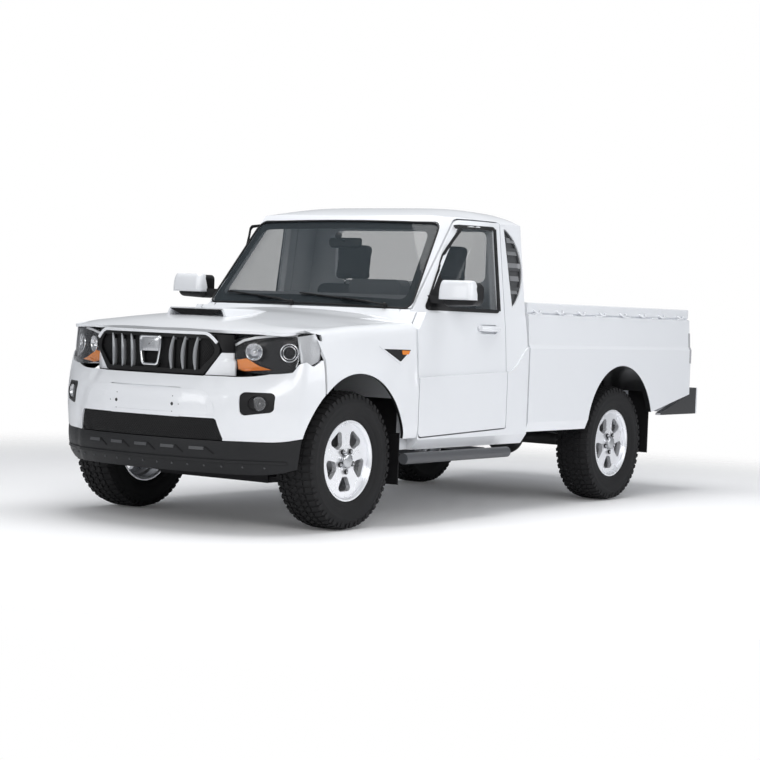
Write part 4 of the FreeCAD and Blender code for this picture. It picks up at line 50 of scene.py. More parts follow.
# ---- materials ----
def shader(name):
    """A new material with its nodes, links and principled surface."""
    mat = bpy.data.materials.new(name)
    mat.use_nodes = True
    return mat, mat.node_tree.nodes, mat.node_tree.links, mat.node_tree.nodes["Principled BSDF"]


def preset(node, values):
    """Sets the values that a node's inputs have while nothing is linked to them."""
    for socket, value in values.items():
        node.inputs[socket].default_value = value
    return node


def add_node(nodes, kind, values=None, **settings):
    """A new shader node with its settings and the values of its inputs."""
    node = nodes.new("ShaderNode" + kind)
    for key, value in settings.items():
        setattr(node, key, value)
    return preset(node, values or {})


def blend(nodes, links, factor, low, high):
    """A colour between two, by a factor."""
    mix = add_node(nodes, "Mix", {6: (*low, 1), 7: (*high, 1)}, data_type="RGBA")
    links.new(factor, mix.inputs[0])
    return mix.outputs[2]


def material(name, colour, rough, metal=0.0, grain=400.0, bump=0.0, vary=0.08, coat=0.0, tint=0.05,
             voronoi=False, gloss=0.5):
    """A plain surface whose colour and roughness wander a little, with a fine grain in its bump."""
    mat, nodes, links, base = shader(name)
    preset(base, {"Metallic": metal, "Specular IOR Level": gloss})
    if coat:
        preset(base, {"Coat Weight": coat, "Coat Roughness": 0.04})
    where = add_node(nodes, "TexCoord").outputs["Object"]
    broad = add_node(nodes, "TexNoise", {"Scale": 6.0, "Detail": 4.0})
    links.new(where, broad.inputs["Vector"])
    mixed = blend(nodes, links, broad.outputs["Fac"], [c * (1 - tint) for c in colour],
                  [min(1, c * (1 + tint)) for c in colour])
    links.new(mixed, base.inputs["Base Color"])
    level = add_node(nodes, "MapRange", {"To Min": max(0.02, rough - vary), "To Max": rough + vary})
    links.new(broad.outputs["Fac"], level.inputs["Value"])
    links.new(level.outputs["Result"], base.inputs["Roughness"])
    if bump:
        fine_grain = add_node(nodes, "TexVoronoi" if voronoi else "TexNoise", {"Scale": grain})
        links.new(where, fine_grain.inputs["Vector"])
        dent = add_node(nodes, "Bump", {"Strength": bump, "Distance": 0.001})
        links.new(fine_grain.outputs[0], dent.inputs["Height"])
        links.new(dent.outputs["Normal"], base.inputs["Normal"])
    return mat


def paint(name):
    """The body's white paint under a clear coat."""
    return material(name, COLOURS["white"], 0.30, grain=900, bump=0.02, vary=0.04, coat=0.6, tint=0.01)


def glass(name, colour, veil):
    """Thin glass: what lies behind shows through a faint veil, and the mirror grows towards grazing views."""
    mat, nodes, links, base = shader(name)
    preset(base, {"Base Color": (*colour, 1), "Roughness": 0.03, "IOR": 1.5})
    edge = add_node(nodes, "LayerWeight", {"Blend": 0.5})
    steep = add_node(nodes, "Math", {1: 4.0}, operation="POWER")
    level = add_node(nodes, "MapRange", {"To Min": veil, "To Max": 0.9})
    links.new(edge.outputs["Facing"], steep.inputs[0])
    links.new(steep.outputs[0], level.inputs["Value"])
    links.new(level.outputs["Result"], base.inputs["Alpha"])
    return mat


def worked(mat, low, high, build_factor):
    """Two colours on one piece, mixed by what build_factor makes from its own place and normal."""
    nodes, links = mat.node_tree.nodes, mat.node_tree.links
    where = add_node(nodes, "TexCoord")
    place, normal = add_node(nodes, "SeparateXYZ"), add_node(nodes, "SeparateXYZ")
    links.new(where.outputs["Object"], place.inputs[0])
    links.new(where.outputs["Normal"], normal.inputs[0])

    def math_node(kind, a, b=0.0):
        node = add_node(nodes, "Math", operation=kind)
        for socket, value in zip(node.inputs, (a, b)):
            if isinstance(value, (int, float)):
                socket.default_value = value
            else:
                links.new(value, socket)
        return node.outputs[0]

    factor = build_factor(math_node, place.outputs, normal.outputs)
    links.new(blend(nodes, links, factor, low, high), nodes["Principled BSDF"].inputs["Base Color"])
    return mat


def facing_wheel(centre_x, centre_z, reach):
    """1 on the surfaces inside a wheel arch that look towards the wheel."""
    def factor(m, place, normal):
        half = m("ABSOLUTE", place[1])
        out = m("MULTIPLY", normal[1], m("SIGN", place[1]))
        along = m("SUBTRACT", centre_x, place[0])
        rise = m("SUBTRACT", centre_z, place[2])
        facing = m("ADD", m("ADD", m("MULTIPLY", along, normal[0]), m("MULTIPLY", rise, normal[2])),
                   m("MULTIPLY", m("SUBTRACT", TRACK, half), out))
        away = m("SQRT", m("ADD", m("MULTIPLY", along, along), m("MULTIPLY", rise, rise)))
        return m("MULTIPLY", m("GREATER_THAN", facing, 0.004), m("LESS_THAN", away, reach))
    return factor


MAT = {
    "paint_white": paint("paint"),
    "black_trim": material("black_trim", COLOURS["black"], 0.42, grain=1500, bump=0.15, gloss=0.22),
    "charcoal_trim": material("charcoal_trim", COLOURS["charcoal"], 0.50, grain=1800, bump=0.25, gloss=0.25),
    "glass_clear": glass("window_glass", (0.045, 0.060, 0.070), 0.235),
    "lamp_clear": glass("lamp_lens", (0.55, 0.56, 0.58), 0.10),
    "lamp_red": material("red_lens", (0.30, 0.012, 0.012), 0.12, grain=260, bump=0.3, coat=0.8, voronoi=True),
    "alloy": material("alloy", (0.90, 0.91, 0.94), 0.28, metal=0.60, grain=1400, bump=0.03, coat=0.35),
    "tyre_rubber": material("tyre", (0.014, 0.014, 0.015), 0.70, grain=700, bump=0.25, tint=0.25, gloss=0.22),
    "frame_steel": material("frame_steel", (0.012, 0.012, 0.014), 0.55, grain=300, bump=0.2, tint=0.2,
                            gloss=0.25),
    "cast_metal": material("cast_metal", (0.07, 0.07, 0.072), 0.6, metal=0.6, grain=500, bump=0.5, tint=0.2),
    "bare_steel": material("bare_steel", (0.35, 0.35, 0.36), 0.4, metal=0.9, grain=700, bump=0.1, tint=0.1),
    "step_grey": material("step_grey", (0.070, 0.073, 0.080), 0.42, grain=1500, bump=0.1),
    "cabin_plastic": material("cabin_plastic", (0.12, 0.122, 0.13), 0.62, grain=2200, bump=0.3),
    "dark_plastic": material("dark_plastic", (0.02, 0.02, 0.022), 0.55, grain=2200, bump=0.3),
    "seat_fabric": material("seat_fabric", (0.10, 0.103, 0.112), 0.88, grain=1400, bump=0.8, tint=0.15,
                            voronoi=True),
    "flap_rubber": material("flap_rubber", (0.009, 0.009, 0.010), 0.6, grain=900, bump=0.2, gloss=0.2),
}
CHROME = material("chrome", (0.75, 0.76, 0.78), 0.08, metal=1.0, grain=500, vary=0.03)
AMBER = material("amber", (0.75, 0.22, 0.02), 0.2, grain=300, bump=0.2, coat=0.6, voronoi=True)
REFLECTOR = material("reflector", (0.72, 0.73, 0.75), 0.14, metal=1.0, grain=260, bump=0.25, vary=0.05,
                     voronoi=True)
BLADE_GREY = material("blade_grey", (0.30, 0.31, 0.325), 0.34, metal=0.5, grain=900, bump=0.05)
SATIN_SILVER = material("satin_silver", (0.52, 0.53, 0.55), 0.28, metal=0.9, grain=900, bump=0.05)
MESH_BLACK = material("mesh_black", (0.006, 0.006, 0.007), 0.5, grain=900, bump=0.1, gloss=0.2)
LOUVRE_GREY = material("louvre_blade", (0.22, 0.225, 0.235), 0.4, metal=0.3, grain=900, bump=0.05)
# grey of the valance's painted highlights, and of its bolts
HIGHLIGHT_AND_BOLT_GREY = material("highlight_and_bolt_grey", (0.055, 0.057, 0.062), 0.4, grain=1500, bump=0.1)
SEAM_GREY = material("seam_grey", (0.045, 0.046, 0.05), 0.8, grain=1400, bump=0.3)
LAMP_COVER = glass("lamp_cover", (0.35, 0.36, 0.38), 0.035)
LAMP_BOWL = material("lamp_bowl", (0.010, 0.010, 0.011), 0.22, metal=0.0, grain=600, bump=0.05)
CORNER_GREY = material("lamp_corner", (0.50, 0.51, 0.53), 0.22, metal=0.3, grain=90, bump=0.5, voronoi=True)
BROW_WHITE = material("brow_white", (0.80, 0.81, 0.83), 0.20, metal=0.3, grain=600, bump=0.02)
FILLER = paint("side_filler")

slots = {s["node"]: s["material_slot"] for s in frame["record"]["subparts"]}
for node, obj in frame["nodes"].items():
    obj.data.materials.clear()
    obj.data.materials.append(MAT[slots[node]])
    for poly in obj.data.polygons:
        poly.material_index = 0


def wear(node, mat):
    """Gives a CAD node its own material."""
    frame["nodes"][node].data.materials[0] = mat


def bumper_sides(m, place, normal):
    """1 on the rear bumper's top and on its sides ahead of x -2.45."""
    side = m("GREATER_THAN", m("ABSOLUTE", normal[1]), 0.60)
    ahead = m("GREATER_THAN", place[0], -2.45)
    top = m("GREATER_THAN", normal[2], 0.50)
    return m("MAXIMUM", m("MULTIPLY", side, ahead), top)


# the arches: middle along and up, and how far the dark face reaches
FRONT_ARCH = facing_wheel(AXLE_X, 0.420, 0.56)
for node, name, factor in (("load_bed", "bed_paint", facing_wheel(REAR_X, 0.452, 0.50)),
                           ("front_wings", "wing_paint", FRONT_ARCH), ("cab_shell", "cab_paint", FRONT_ARCH),
                           ("front_bumper", "bumper_paint", facing_wheel(AXLE_X, 0.420, 0.60)),
                           ("rear_bumper", "rear_bumper_paint", bumper_sides)):
    wear(node, worked(paint(name), COLOURS["white"], COLOURS["black"], factor))
wear("grille", material("grille_black", (0.006, 0.006, 0.0065), 0.40, grain=1500, bump=0.15, gloss=0.25))
TAIL_LENS = material("tail_lens", (0.3, 0.3, 0.3), 0.12, grain=260, bump=0.3, coat=0.8, voronoi=True)
wear("tail_lamps", worked(TAIL_LENS, (0.42, 0.43, 0.45), (0.34, 0.012, 0.014),
                          lambda m, place, normal: m("LESS_THAN", m("ABSOLUTE", normal[1]), 0.6)))
wear("cab_louvres", material("louvre_grey", (0.05, 0.052, 0.056), 0.45, grain=1500, bump=0.15))


# ---- mesh helpers ----
def clean_mesh(name, verts, faces):
    """A mesh with doubles merged and its faces turned outwards."""
    mesh = bpy.data.meshes.new(name)
    mesh.from_pydata([tuple(v) for v in verts], [], faces)
    bm = bmesh.new()
    bm.from_mesh(mesh)
    bmesh.ops.remove_doubles(bm, verts=bm.verts, dist=1e-6)
    bmesh.ops.recalc_face_normals(bm, faces=bm.faces)
    bm.to_mesh(mesh)
    bm.free()
    return mesh


def placed(name, data):
    """A new object in the scene."""
    obj = bpy.data.objects.new(name, data)
    bpy.context.scene.collection.objects.link(obj)
    return obj


def piece(name, mesh, look, body="root", slot=None, smooth=False, replaces=()):
    """One visible piece on its body. A slot's name as its look stands for that slot's material."""
    mat, slot = (MAT[look], look) if isinstance(look, str) else (look, slot)
    obj = placed(name, mesh)
    mesh.materials.append(mat)
    for poly in mesh.polygons:
        poly.use_smooth = smooth
    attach(obj, body)
    if replaces:
        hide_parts(*replaces)
    return obj


def square_to(way):
    """Two directions at right angles to a direction and to each other."""
    helper = Vector((0, 0, 1)) if abs(way.z) < 0.9 else Vector((1, 0, 0))
    one = way.cross(helper).normalized()
    return one, way.cross(one).normalized()


def directions(path, closed=False):
    """Each point of a path with the path's direction there."""
    for i, point in enumerate(path):
        before = path[i - 1] if i or closed else point
        after = path[(i + 1) % len(path)] if i < len(path) - 1 or closed else point
        yield point, (after - before).normalized()


class Build:
    """Collects vertices and faces of one piece."""

    def __init__(self):
        self.verts, self.faces = [], []

    def add(self, verts, faces):
        start = len(self.verts)
        self.verts += [Vector(v) for v in verts]
        self.faces += [tuple(start + i for i in face) for face in faces]

    def cap(self, *outlines):
        """One face over each outline."""
        for outline in outlines:
            self.add(outline, [tuple(range(len(outline)))])

    def prism(self, low, high):
        """A solid between two matching outlines."""
        n = len(low)
        faces = [tuple(range(n))[::-1], tuple(range(n, 2 * n))]
        faces += [(i, (i + 1) % n, n + (i + 1) % n, n + i) for i in range(n)]
        self.add(list(low) + list(high), faces)

    def box(self, low, high):
        (a, b, c), (x, y, z) = low, high
        self.prism([(a, b, c), (x, b, c), (x, y, c), (a, y, c)], [(a, b, z), (x, b, z), (x, y, z), (a, y, z)])

    def grid(self, rows, closed=False):
        """Faces between the points of rows that follow one another."""
        n, m = len(rows), len(rows[0])
        faces = []
        for i in range(n if closed else n - 1):
            for j in range(m - 1):
                a, b = i * m + j, ((i + 1) % n) * m + j
                faces.append((a, b, b + 1, a + 1))
        self.add([p for row in rows for p in row], faces)

    def ring(self, rows):
        """A sleeve of matching outlines, each closed on itself."""
        self.grid([row + [row[0]] for row in rows])

    def panel(self, rows, depth):
        """A sheet of rows with its back at a step of depth, closed round its four sides."""
        back = [[p + depth for p in row] for row in rows]
        self.grid(rows)
        self.grid(back)
        for end in (0, -1):
            self.grid([rows[end], back[end]])
            self.grid([[row[end] for row in rows], [row[end] for row in back]])

    def tube(self, path, radius, sides=10, closed=False):
        rings = []
        for point, way in directions([Vector(p) for p in path], closed):
            one, two = square_to(way)
            rings.append([point + (one * math.cos(a) + two * math.sin(a)) * radius
                          for a in (2 * math.pi * k / sides for k in range(sides + 1))])
        self.grid(rings, closed)
        if not closed:
            self.cap(rings[0][:-1], rings[-1][:-1])

    def lathe(self, profile, centre, axis, turns=48):
        """Turns (radius, along) pairs about an axis through the centre."""
        axis = Vector(axis).normalized()
        one, two = square_to(axis)
        angles = (2 * math.pi * k / turns for k in range(turns))
        ways = (one * math.cos(a) + two * math.sin(a) for a in angles)
        self.grid([[Vector(centre) + way * r + axis * h for r, h in profile] for way in ways], True)

    def done(self, name, look, body="root", **more):
        return piece(name, clean_mesh(name, self.verts, self.faces), look, body, **more)


def rounded(points, radius, count=4):
    """An outline with each corner rounded."""
    out = []
    n = len(points)
    for i in range(n):
        p, a, b = Vector(points[i]), Vector(points[i - 1]), Vector(points[(i + 1) % n])
        la, lb = (a - p).length, (b - p).length
        r = min(radius, la * 0.45, lb * 0.45)
        start, end = p + (a - p).normalized() * r, p + (b - p).normalized() * r
        for k in range(count + 1):
            t = k / count
            out.append(start * (1 - t) ** 2 + p * 2 * t * (1 - t) + end * t * t)
    return out


def fine(outline, step):
    """The same closed outline, with points no more than about a step apart."""
    out = []
    for a, b in zip(outline, outline[1:] + outline[:1]):
        count = max(1, int((b - a).length / step))
        out += [a.lerp(b, k / count) for k in range(count)]
    return out


def ribbon_rows(path, wide, thick, way, closed=False):
    """The cross-sections of a flat strip along a path, thick along a direction."""
    rows, out = [], Vector(way).normalized()
    for point, forward in directions(path, closed):
        across = forward.cross(out).normalized() * wide / 2
        low, high = point - across, point + across
        rows.append([low, low + out * thick, high + out * thick, high, low])
    return rows


def ribbon(path, wide, thick, way, closed=False):
    """A flat strip along a path, with closed ends."""
    rows = ribbon_rows([Vector(p) for p in path], wide, thick, way, closed)
    build = Build()
    build.grid(rows, closed)
    if not closed:
        build.cap(rows[0][:-1], rows[-1][:-1])
    return build


# ---- places on the CAD's surfaces ----
TREES = {}


def onto(node, start, way):
    """Where a ray meets a CAD node."""
    if node not in TREES:
        mesh = frame["nodes"][node].data
        TREES[node] = BVHTree.FromPolygons([v.co for v in mesh.vertices], [p.vertices for p in mesh.polygons])
    place, normal, _, _ = TREES[node].ray_cast(Vector(start), Vector(way))
    return place, normal


def nose_x(node, y, z, fallback):
    """X of a node's front surface at a place across and up."""
    place, _ = onto(node, (4, y, z), (-1, 0, 0))
    return place.x if place else fallback


def side_y(node, x, z, side, fallback):
    """Y of a node's outer surface at a place along and up."""
    place, _ = onto(node, (x, side * 3, z), (0, -side, 0))
    return place.y if place else fallback


def slab(outline, lift, thick, where, inner=8):
    """A patch on a surface: an outline of points (x, y), laid where where(x, y, lift) says, in rings about
    its middle."""
    n = len(outline)
    centre = Vector([sum(p[k] for p in outline) / n for k in (0, 1)])
    build = Build()
    rear, front = ([[where(*centre.lerp(p.xy, k / inner), level) for p in outline]
                    for k in range(1, inner + 1)] for level in (lift, lift + thick))
    for group in (front, rear):
        build.ring(group)
        mid = sum(group[0], Vector()) / n
        build.add([mid] + group[0], [(0, i + 1, (i + 1) % n + 1) for i in range(n)])
    build.ring([front[-1], rear[-1]])
    return build


def on_side(node, side, fallback):
    """Surface function for patches along a side."""
    def where(x, z, lift):
        return Vector((x, side_y(node, x, z, side, fallback) + side * lift, z))
    return where


# ---- tyres: a carcass with tread blocks ----
TYRE_RADIUS, GROOVE, PITCHES = 0.387, 0.0085, 56
PITCH = 2 * math.pi / PITCHES
CARCASS = [(-0.0905, 0.2165), (-0.0905, 0.2265), (-0.1, 0.229), (-0.1085, 0.240), (-0.1155, 0.256),
           (-0.1155, 0.2585), (-0.1195, 0.2615), (-0.1225, 0.300), (-0.1215, 0.322), (-0.1230, 0.3245),
           (-0.1225, 0.3285), (-0.119, 0.345), (-0.113, 0.3625), (-0.1035, 0.3705), (-0.09, 0.3755),
           (-0.05, 0.3785), (0, 0.3785)]
MIDDLE_BLOCK = [(0.05, -0.020), (0.52, -0.018), (0.62, -0.004), (0.95, 0.004), (0.86, 0.020), (0.30, 0.018),
                (0.22, 0.003), (0.0, -0.006)]
SIDE_BLOCK = [(0.02, 0.030), (0.40, 0.026), (0.52, 0.043), (0.90, 0.041), (0.78, 0.063), (0.10, 0.062)]


def tyre(name, centre_x, side):
    centre = Vector((centre_x, side * TRACK, AXLE_Z))
    carcass, blocks = Build(), Build()
    carcass.lathe([(r, y) for y, r in CARCASS] + [(r, -y) for y, r in reversed(CARCASS[:-1])], centre,
                  (0, 1, 0), 96)

    def at(angle, across, lift):
        # gently crowned, and falling away at the shoulders
        drop = 0.003 * min(1, abs(across) / 0.096) ** 2 + 0.62 * max(0, abs(across) - 0.096)
        r = TYRE_RADIUS - 0.0002 - drop - lift
        return centre + Vector((math.cos(angle) * r, across, math.sin(angle) * r))

    def block(outline, step):
        """A tread block from (share of a pitch, across); its walls taper towards the top."""
        mid = [sum(p[k] for p in outline) / len(outline) for k in (0, 1)]
        blocks.prism([at((step + p[0]) * PITCH, p[1], GROOVE + 0.001) for p in outline],
                     [at((step + mid[0] + (p[0] - mid[0]) * 0.9) * PITCH, mid[1] + (p[1] - mid[1]) * 0.93, 0)
                      for p in outline])

    def lug(step, s, odd):
        """A shoulder lug that runs down onto the sidewall."""
        low, top = (0.3405 if odd else 0.350), 0.3715
        section = ((low, 0.1175), (low, 0.1222), (top + 0.0025, 0.1168), (top, 0.1050))
        blocks.prism(*([centre + Vector((math.cos(a) * r, s * y, math.sin(a) * r)) for r, y in section]
                       for a in ((step + 0.14) * PITCH, (step + (0.80 if odd else 0.62)) * PITCH)))

    for k in range(PITCHES):
        odd = k % 2
        for s, step in ((1, k), (-1, k + 0.5)):
            wide = 0.118 if odd else 0.111
            block([(0.08, s * 0.070), (0.80, s * 0.073), (0.88, s * wide), (0.14, s * wide)], step)
            block([(share, s * y) for share, y in SIDE_BLOCK], step)
            lug(step, s, odd)
        block(MIDDLE_BLOCK, k)
    body = f"wheel_{name}"
    carcass.done(f"tyre_carcass_{name}", "tyre_rubber", body, smooth=True,
                 replaces=(f"tyre_{name}",))
    blocks.done(f"tyre_tread_{name}", "tyre_rubber", body)


WHEELS = [(f"{end}_{side_name}", x, side) for end, x in (("front", AXLE_X), ("rear", REAR_X))
          for side_name, side in SIDES]
for wheel in WHEELS:
    tyre(*wheel)


# ---- nose: plate panel, intake and grille mesh, blades, shield ----
PLATE_OUTLINE = [(-0.462, 0.632), (-0.232, 0.632), (-0.228, 0.616), (0.268, 0.616), (0.272, 0.632),
                 (0.478, 0.632), (0.462, 0.700), (0.430, 0.748), (0.380, 0.768), (0.0, 0.776),
                 (-0.380, 0.768), (-0.430, 0.748), (-0.458, 0.700)]
PLATE_FLAT_HALF, BUMPER_X = 0.275, 2.53


def plate_place(y, z, lift):
    """On the bumper's skin, and bridging the flat recess in its middle."""
    z = max(z, 0.63)
    if abs(y) < PLATE_FLAT_HALF:
        edge = nose_x("front_bumper", math.copysign(PLATE_FLAT_HALF, y), z, BUMPER_X)
        return edge + 0.006 * (1 - (y / PLATE_FLAT_HALF) ** 2) + lift
    return nose_x("front_bumper", y, z, BUMPER_X) + lift


def plate_panel():
    def where(y, z, lift):
        return Vector((plate_place(y, z, lift), y, z))

    outline = fine(rounded([(y, z, 0) for y, z in PLATE_OUTLINE], 0.012, 3), 0.03)
    slab(outline, 0.0012, 0.0025, where, 14).done(
        "plate_panel", "paint_white")
    dots = Build()
    for y, spread in ((-0.186, -1), (0.217, 1)):
        for dy, dz, r in ((0, 0, 0.0095), (0, 0.042, 0.0032), (0, -0.042, 0.0035),
                          (spread * 0.045, 0, 0.0028)):
            spot = where(y + dy, 0.683 + dz, 0.0036)
            dots.lathe([(0, 0.0008), (r * 0.7, 0.0012), (r, 0.0002), (r, -0.003)], spot, (1, 0, 0), 16)
    dots.done("plate_fixings", "dark_plastic")


def crossed_wires(low, high, step, reach, points, radius, half_at, x_at):
    """Two families of slanted wires over a panel, kept inside half_at(z) and laid at x_at(y, z)."""
    build = Build()
    count = int((2 * half_at(low) + reach) / step) + 2
    for family in (1, -1):
        for k in range(-count, count):
            path = []
            for i in range(points):
                share = i / (points - 1)
                y, z = k * step + family * share * reach, low + (high - low) * share
                if abs(y) < half_at(z):
                    path.append((x_at(y, z), y, z))
            if len(path) > 1:
                build.tube(path, radius, 4)
    return build


INTAKE_LOW, INTAKE_HIGH, INTAKE_X = 0.503, 0.612, 2.46
plate_panel()
crossed_wires(INTAKE_LOW, INTAKE_HIGH, 0.014, (INTAKE_HIGH - INTAKE_LOW) / math.tan(math.radians(55)),
              7, 0.0016, lambda z: 0.515 - (z - 0.5) * 0.30 - 0.004,
              lambda y, z: max(nose_x("grille", y, z, INTAKE_X), INTAKE_X)).done(
    "intake_mesh", MESH_BLACK, slot="black_trim")


GRILLE_X, GRILLE_SAG, GRILLE_END_Y = AXLE_X + 0.716, 0.0615, 0.4725


def grille_half(z):
    """Half the grille's width at a height: widest at 0.975, narrower above and below."""
    if z > 0.975:
        return 0.45 - (z - 0.975) / 0.091 * 0.045
    return 0.352 + (z - 0.848) / 0.127 * 0.098


def grille_bow(y, back):
    """X of the grille's bowed front, set back by an amount."""
    return GRILLE_X - back - GRILLE_SAG * (y / GRILLE_END_Y) ** 2


def grille_wires():
    low, high = 0.862, 1.052
    return crossed_wires(low, high, 0.0125, (high - low) * 0.75, 13, 0.0019, lambda z: grille_half(z) - 0.018,
                         lambda y, z: grille_bow(y, 0.0205))


def grille_blades():
    """Three slats a side, round in front and fullest at mid-height."""
    blades = Build()
    for side in (1, -1):
        for i in range(3):
            y = side * (0.072 + 0.278 * (i + 1) / 3.6)
            rows = []
            for k in range(15):
                t = k / 14
                z = 0.868 + 0.180 * t
                middle = y + side * (0.012 * (t - 0.5) - 0.010 * math.sin(math.pi * t))
                half = 0.0115 * (0.55 + 0.45 * math.sin(math.pi * min(1, max(0, t * 0.9 + 0.05))))
                front = grille_bow(y, -0.004) + 0.010 * math.sin(math.pi * t)
                nose = [(front - 0.020 + 0.020 * math.sin(a), middle - half * math.cos(a))
                        for a in (math.pi * q / 8 for q in range(9))]
                heel = [(front - 0.032, middle + half), (front - 0.032, middle - half)]
                rows.append([Vector((*spot, z)) for spot in nose + heel])
            blades.ring(rows)
            blades.cap(rows[0], rows[-1])
    return blades


def bowed(outline, middle_z, levels):
    """Outlines on the grille's bow, one for each (scale, out) level."""
    return [[Vector((grille_bow(p.y, -out), p.y * scale, middle_z + (p.z - middle_z) * scale))
             for p in outline]
            for scale, out in levels]


def grille_dress():
    grille_wires().done("grille_wires", "black_trim")
    grille_blades().done("grille_blades", BLADE_GREY, slot="alloy", smooth=True)
    half = [(0.058, 0.882), (0.074, 0.960), (0.080, 1.046)]
    outer = rounded([(0, y, z) for y, z in half] + [(0, -y, z) for y, z in reversed(half)], 0.020, 5)
    shield, badge = Build(), Build()
    shield.ring(bowed(outer, 0.968, ((1.0, -0.012), (1.0, 0.010), (0.965, 0.0145), (0.88, 0.0145),
                                     (0.84, 0.009), (0.84, -0.012))))
    shield.done("grille_shield", CHROME, slot="alloy", smooth=True)
    inner = [(0, -0.066, 0.960), (0, 0.066, 0.960), (0, 0.068, 1.040), (0, -0.068, 1.040)]
    badge.ring(bowed(rounded(inner, 0.018, 5), 1.0,
                     ((1.0, -0.004), (1.0, 0.006), (0.93, 0.0095), (0.5, 0.0125), (0.05, 0.0135))))
    badge.done("grille_bare_badge", SATIN_SILVER, slot="alloy", smooth=True)
    # bright strip over the grille, under the bonnet's lip
    strip = []
    for k in range(41):
        y = -0.43 + 0.86 * k / 40
        drop = 0.050 * max(0, (abs(y) - 0.36) / 0.07) ** 1.6
        strip.append(Vector((grille_bow(y, -0.004), y, 1.0705 - drop)))
    ribbon(strip, 0.016, 0.006, (1, 0, 0)).done("grille_strip", "paint_white")


grille_dress()


# ---- fog lamps: a dark bezel with a clear lens in it ----
def fog_lamp(name, side):
    y, z = side * 0.681, 0.705
    spot = Vector((nose_x("fog_lamps", y, z, 2.33) + 0.004, y, z))
    way = Vector((0.93, side * 0.36, 0.02)).normalized()
    ring, bowl, lens = Build(), Build(), Build()
    ring.lathe([(0.046, -0.012), (0.047, 0.004), (0.043, 0.007), (0.039, 0.004), (0.037, -0.012)], spot, way,
               36)
    bowl.lathe([(0.0, -0.018), (0.012, -0.016), (0.026, -0.010), (0.0375, 0.002)], spot, way, 36)
    bowl.lathe([(0.0, -0.004), (0.006, -0.004), (0.008, -0.008), (0.008, -0.018)], spot, way, 20)
    lens.lathe([(0.0, 0.0065), (0.014, 0.006), (0.028, 0.004), (0.0385, 0.0005), (0.0385, -0.001),
                (0.028, 0.0022), (0.014, 0.0042), (0.0, 0.0047)], spot, way, 36)
    ring.done(f"fog_ring_{name}", "black_trim", smooth=True)
    bowl.done(f"fog_bowl_{name}", REFLECTOR, slot="lamp_clear", smooth=True)
    lens.done(f"fog_lens_{name}", "lamp_clear", smooth=True)


for side_name, side in SIDES:
    fog_lamp(side_name, side)


# ---- headlamps: the CAD lamp's face as a clear shell over a dark bowl with its reflectors ----
LAMP_REAR_X, LAMP_INNER_X = 2.118, 2.352
SOFT_EDGE = math.radians(32)


def lamp_face(side):
    """The CAD lamp's front skin on one side, grown from its middle over soft edges, and its direction."""
    bm = bmesh.new()
    bm.from_mesh(frame["nodes"]["headlamps"].data)
    bmesh.ops.remove_doubles(bm, verts=bm.verts, dist=1e-5)
    bm.faces.ensure_lookup_table()
    tree = BVHTree.FromBMesh(bm)
    _, _, seed, _ = tree.ray_cast(Vector((4, side * 0.68, 0.98)), Vector((-1, 0, 0)))
    found, queue = {seed}, [bm.faces[seed]]
    while queue:
        face = queue.pop()
        for edge in face.edges:
            for other in edge.link_faces:
                if other.index not in found and face.normal.angle(other.normal, 3.0) < SOFT_EDGE:
                    found.add(other.index)
                    queue.append(other)
    bmesh.ops.delete(bm, geom=[f for f in bm.faces if f.index not in found], context="FACES")
    bmesh.ops.bisect_plane(bm, geom=bm.verts[:] + bm.edges[:] + bm.faces[:], plane_co=(LAMP_REAR_X, 0, 0),
                           plane_no=(-1, 0, 0), clear_outer=True)
    bm.verts.index_update()
    verts = [v.co.copy() for v in bm.verts]
    faces = [tuple(v.index for v in f.verts) for f in bm.faces]
    bm.free()
    return verts, faces, Vector((0.80, side * 0.55, 0.10)).normalized()


def rim_edges(faces):
    """The edges that only one face has, in that face's direction."""
    count = {}
    for face in faces:
        for a, b in zip(face, face[1:] + face[:1]):
            count.setdefault((min(a, b), max(a, b)), []).append((a, b))
    return [pairs[0] for pairs in count.values() if len(pairs) == 1]


def shell(verts, faces, way, side_name, side):
    """The clear cover, 3 mm thick, and the dark bowl behind it, 70 mm deep."""
    edges, n = rim_edges(faces), len(verts)
    turned = [tuple(i + n for i in f[::-1]) for f in faces]
    walls = [(b, a, a + n, b + n) for a, b in edges]
    cover, bowl = Build(), Build()
    cover.add(verts + [v - way * 0.003 for v in verts], faces + turned + walls)
    cover.done(f"headlamp_cover_{side_name}", LAMP_COVER, slot="lamp_clear",
               replaces=("headlamps",) if side > 0 else ())
    centre = sum(verts, Vector()) / n
    bowl.add([v - way * 0.0045 for v in verts] + [centre + (v - centre) * 0.90 - way * 0.070 for v in verts],
             [tuple(i + n for i in f) for f in faces] + [(a, b, b + n, a + n) for a, b in edges])
    bowl.add([v - way * 0.0032 for v in verts] + [centre + (v - centre) * 0.93 - way * 0.074 for v in verts],
             turned + walls)
    bowl.faces += [(a, b, 2 * n + b, 2 * n + a) for a, b in edges]
    bowl.done(f"headlamp_bowl_{side_name}", LAMP_BOWL, slot="black_trim")


AMBER_OUTLINE = [(0.505, 0.935), (0.560, 0.945), (0.640, 0.905), (0.700, 0.888), (0.560, 0.876),
                 (0.510, 0.882)]
BROW_LINE = [(0.478, 1.012), (0.530, 1.040), (0.600, 1.057), (0.680, 1.068), (0.750, 1.074), (0.800, 1.076)]
DIVIDER_LINE = [(0.806, 1.060), (0.812, 1.000), (0.812, 0.940), (0.806, 0.905)]


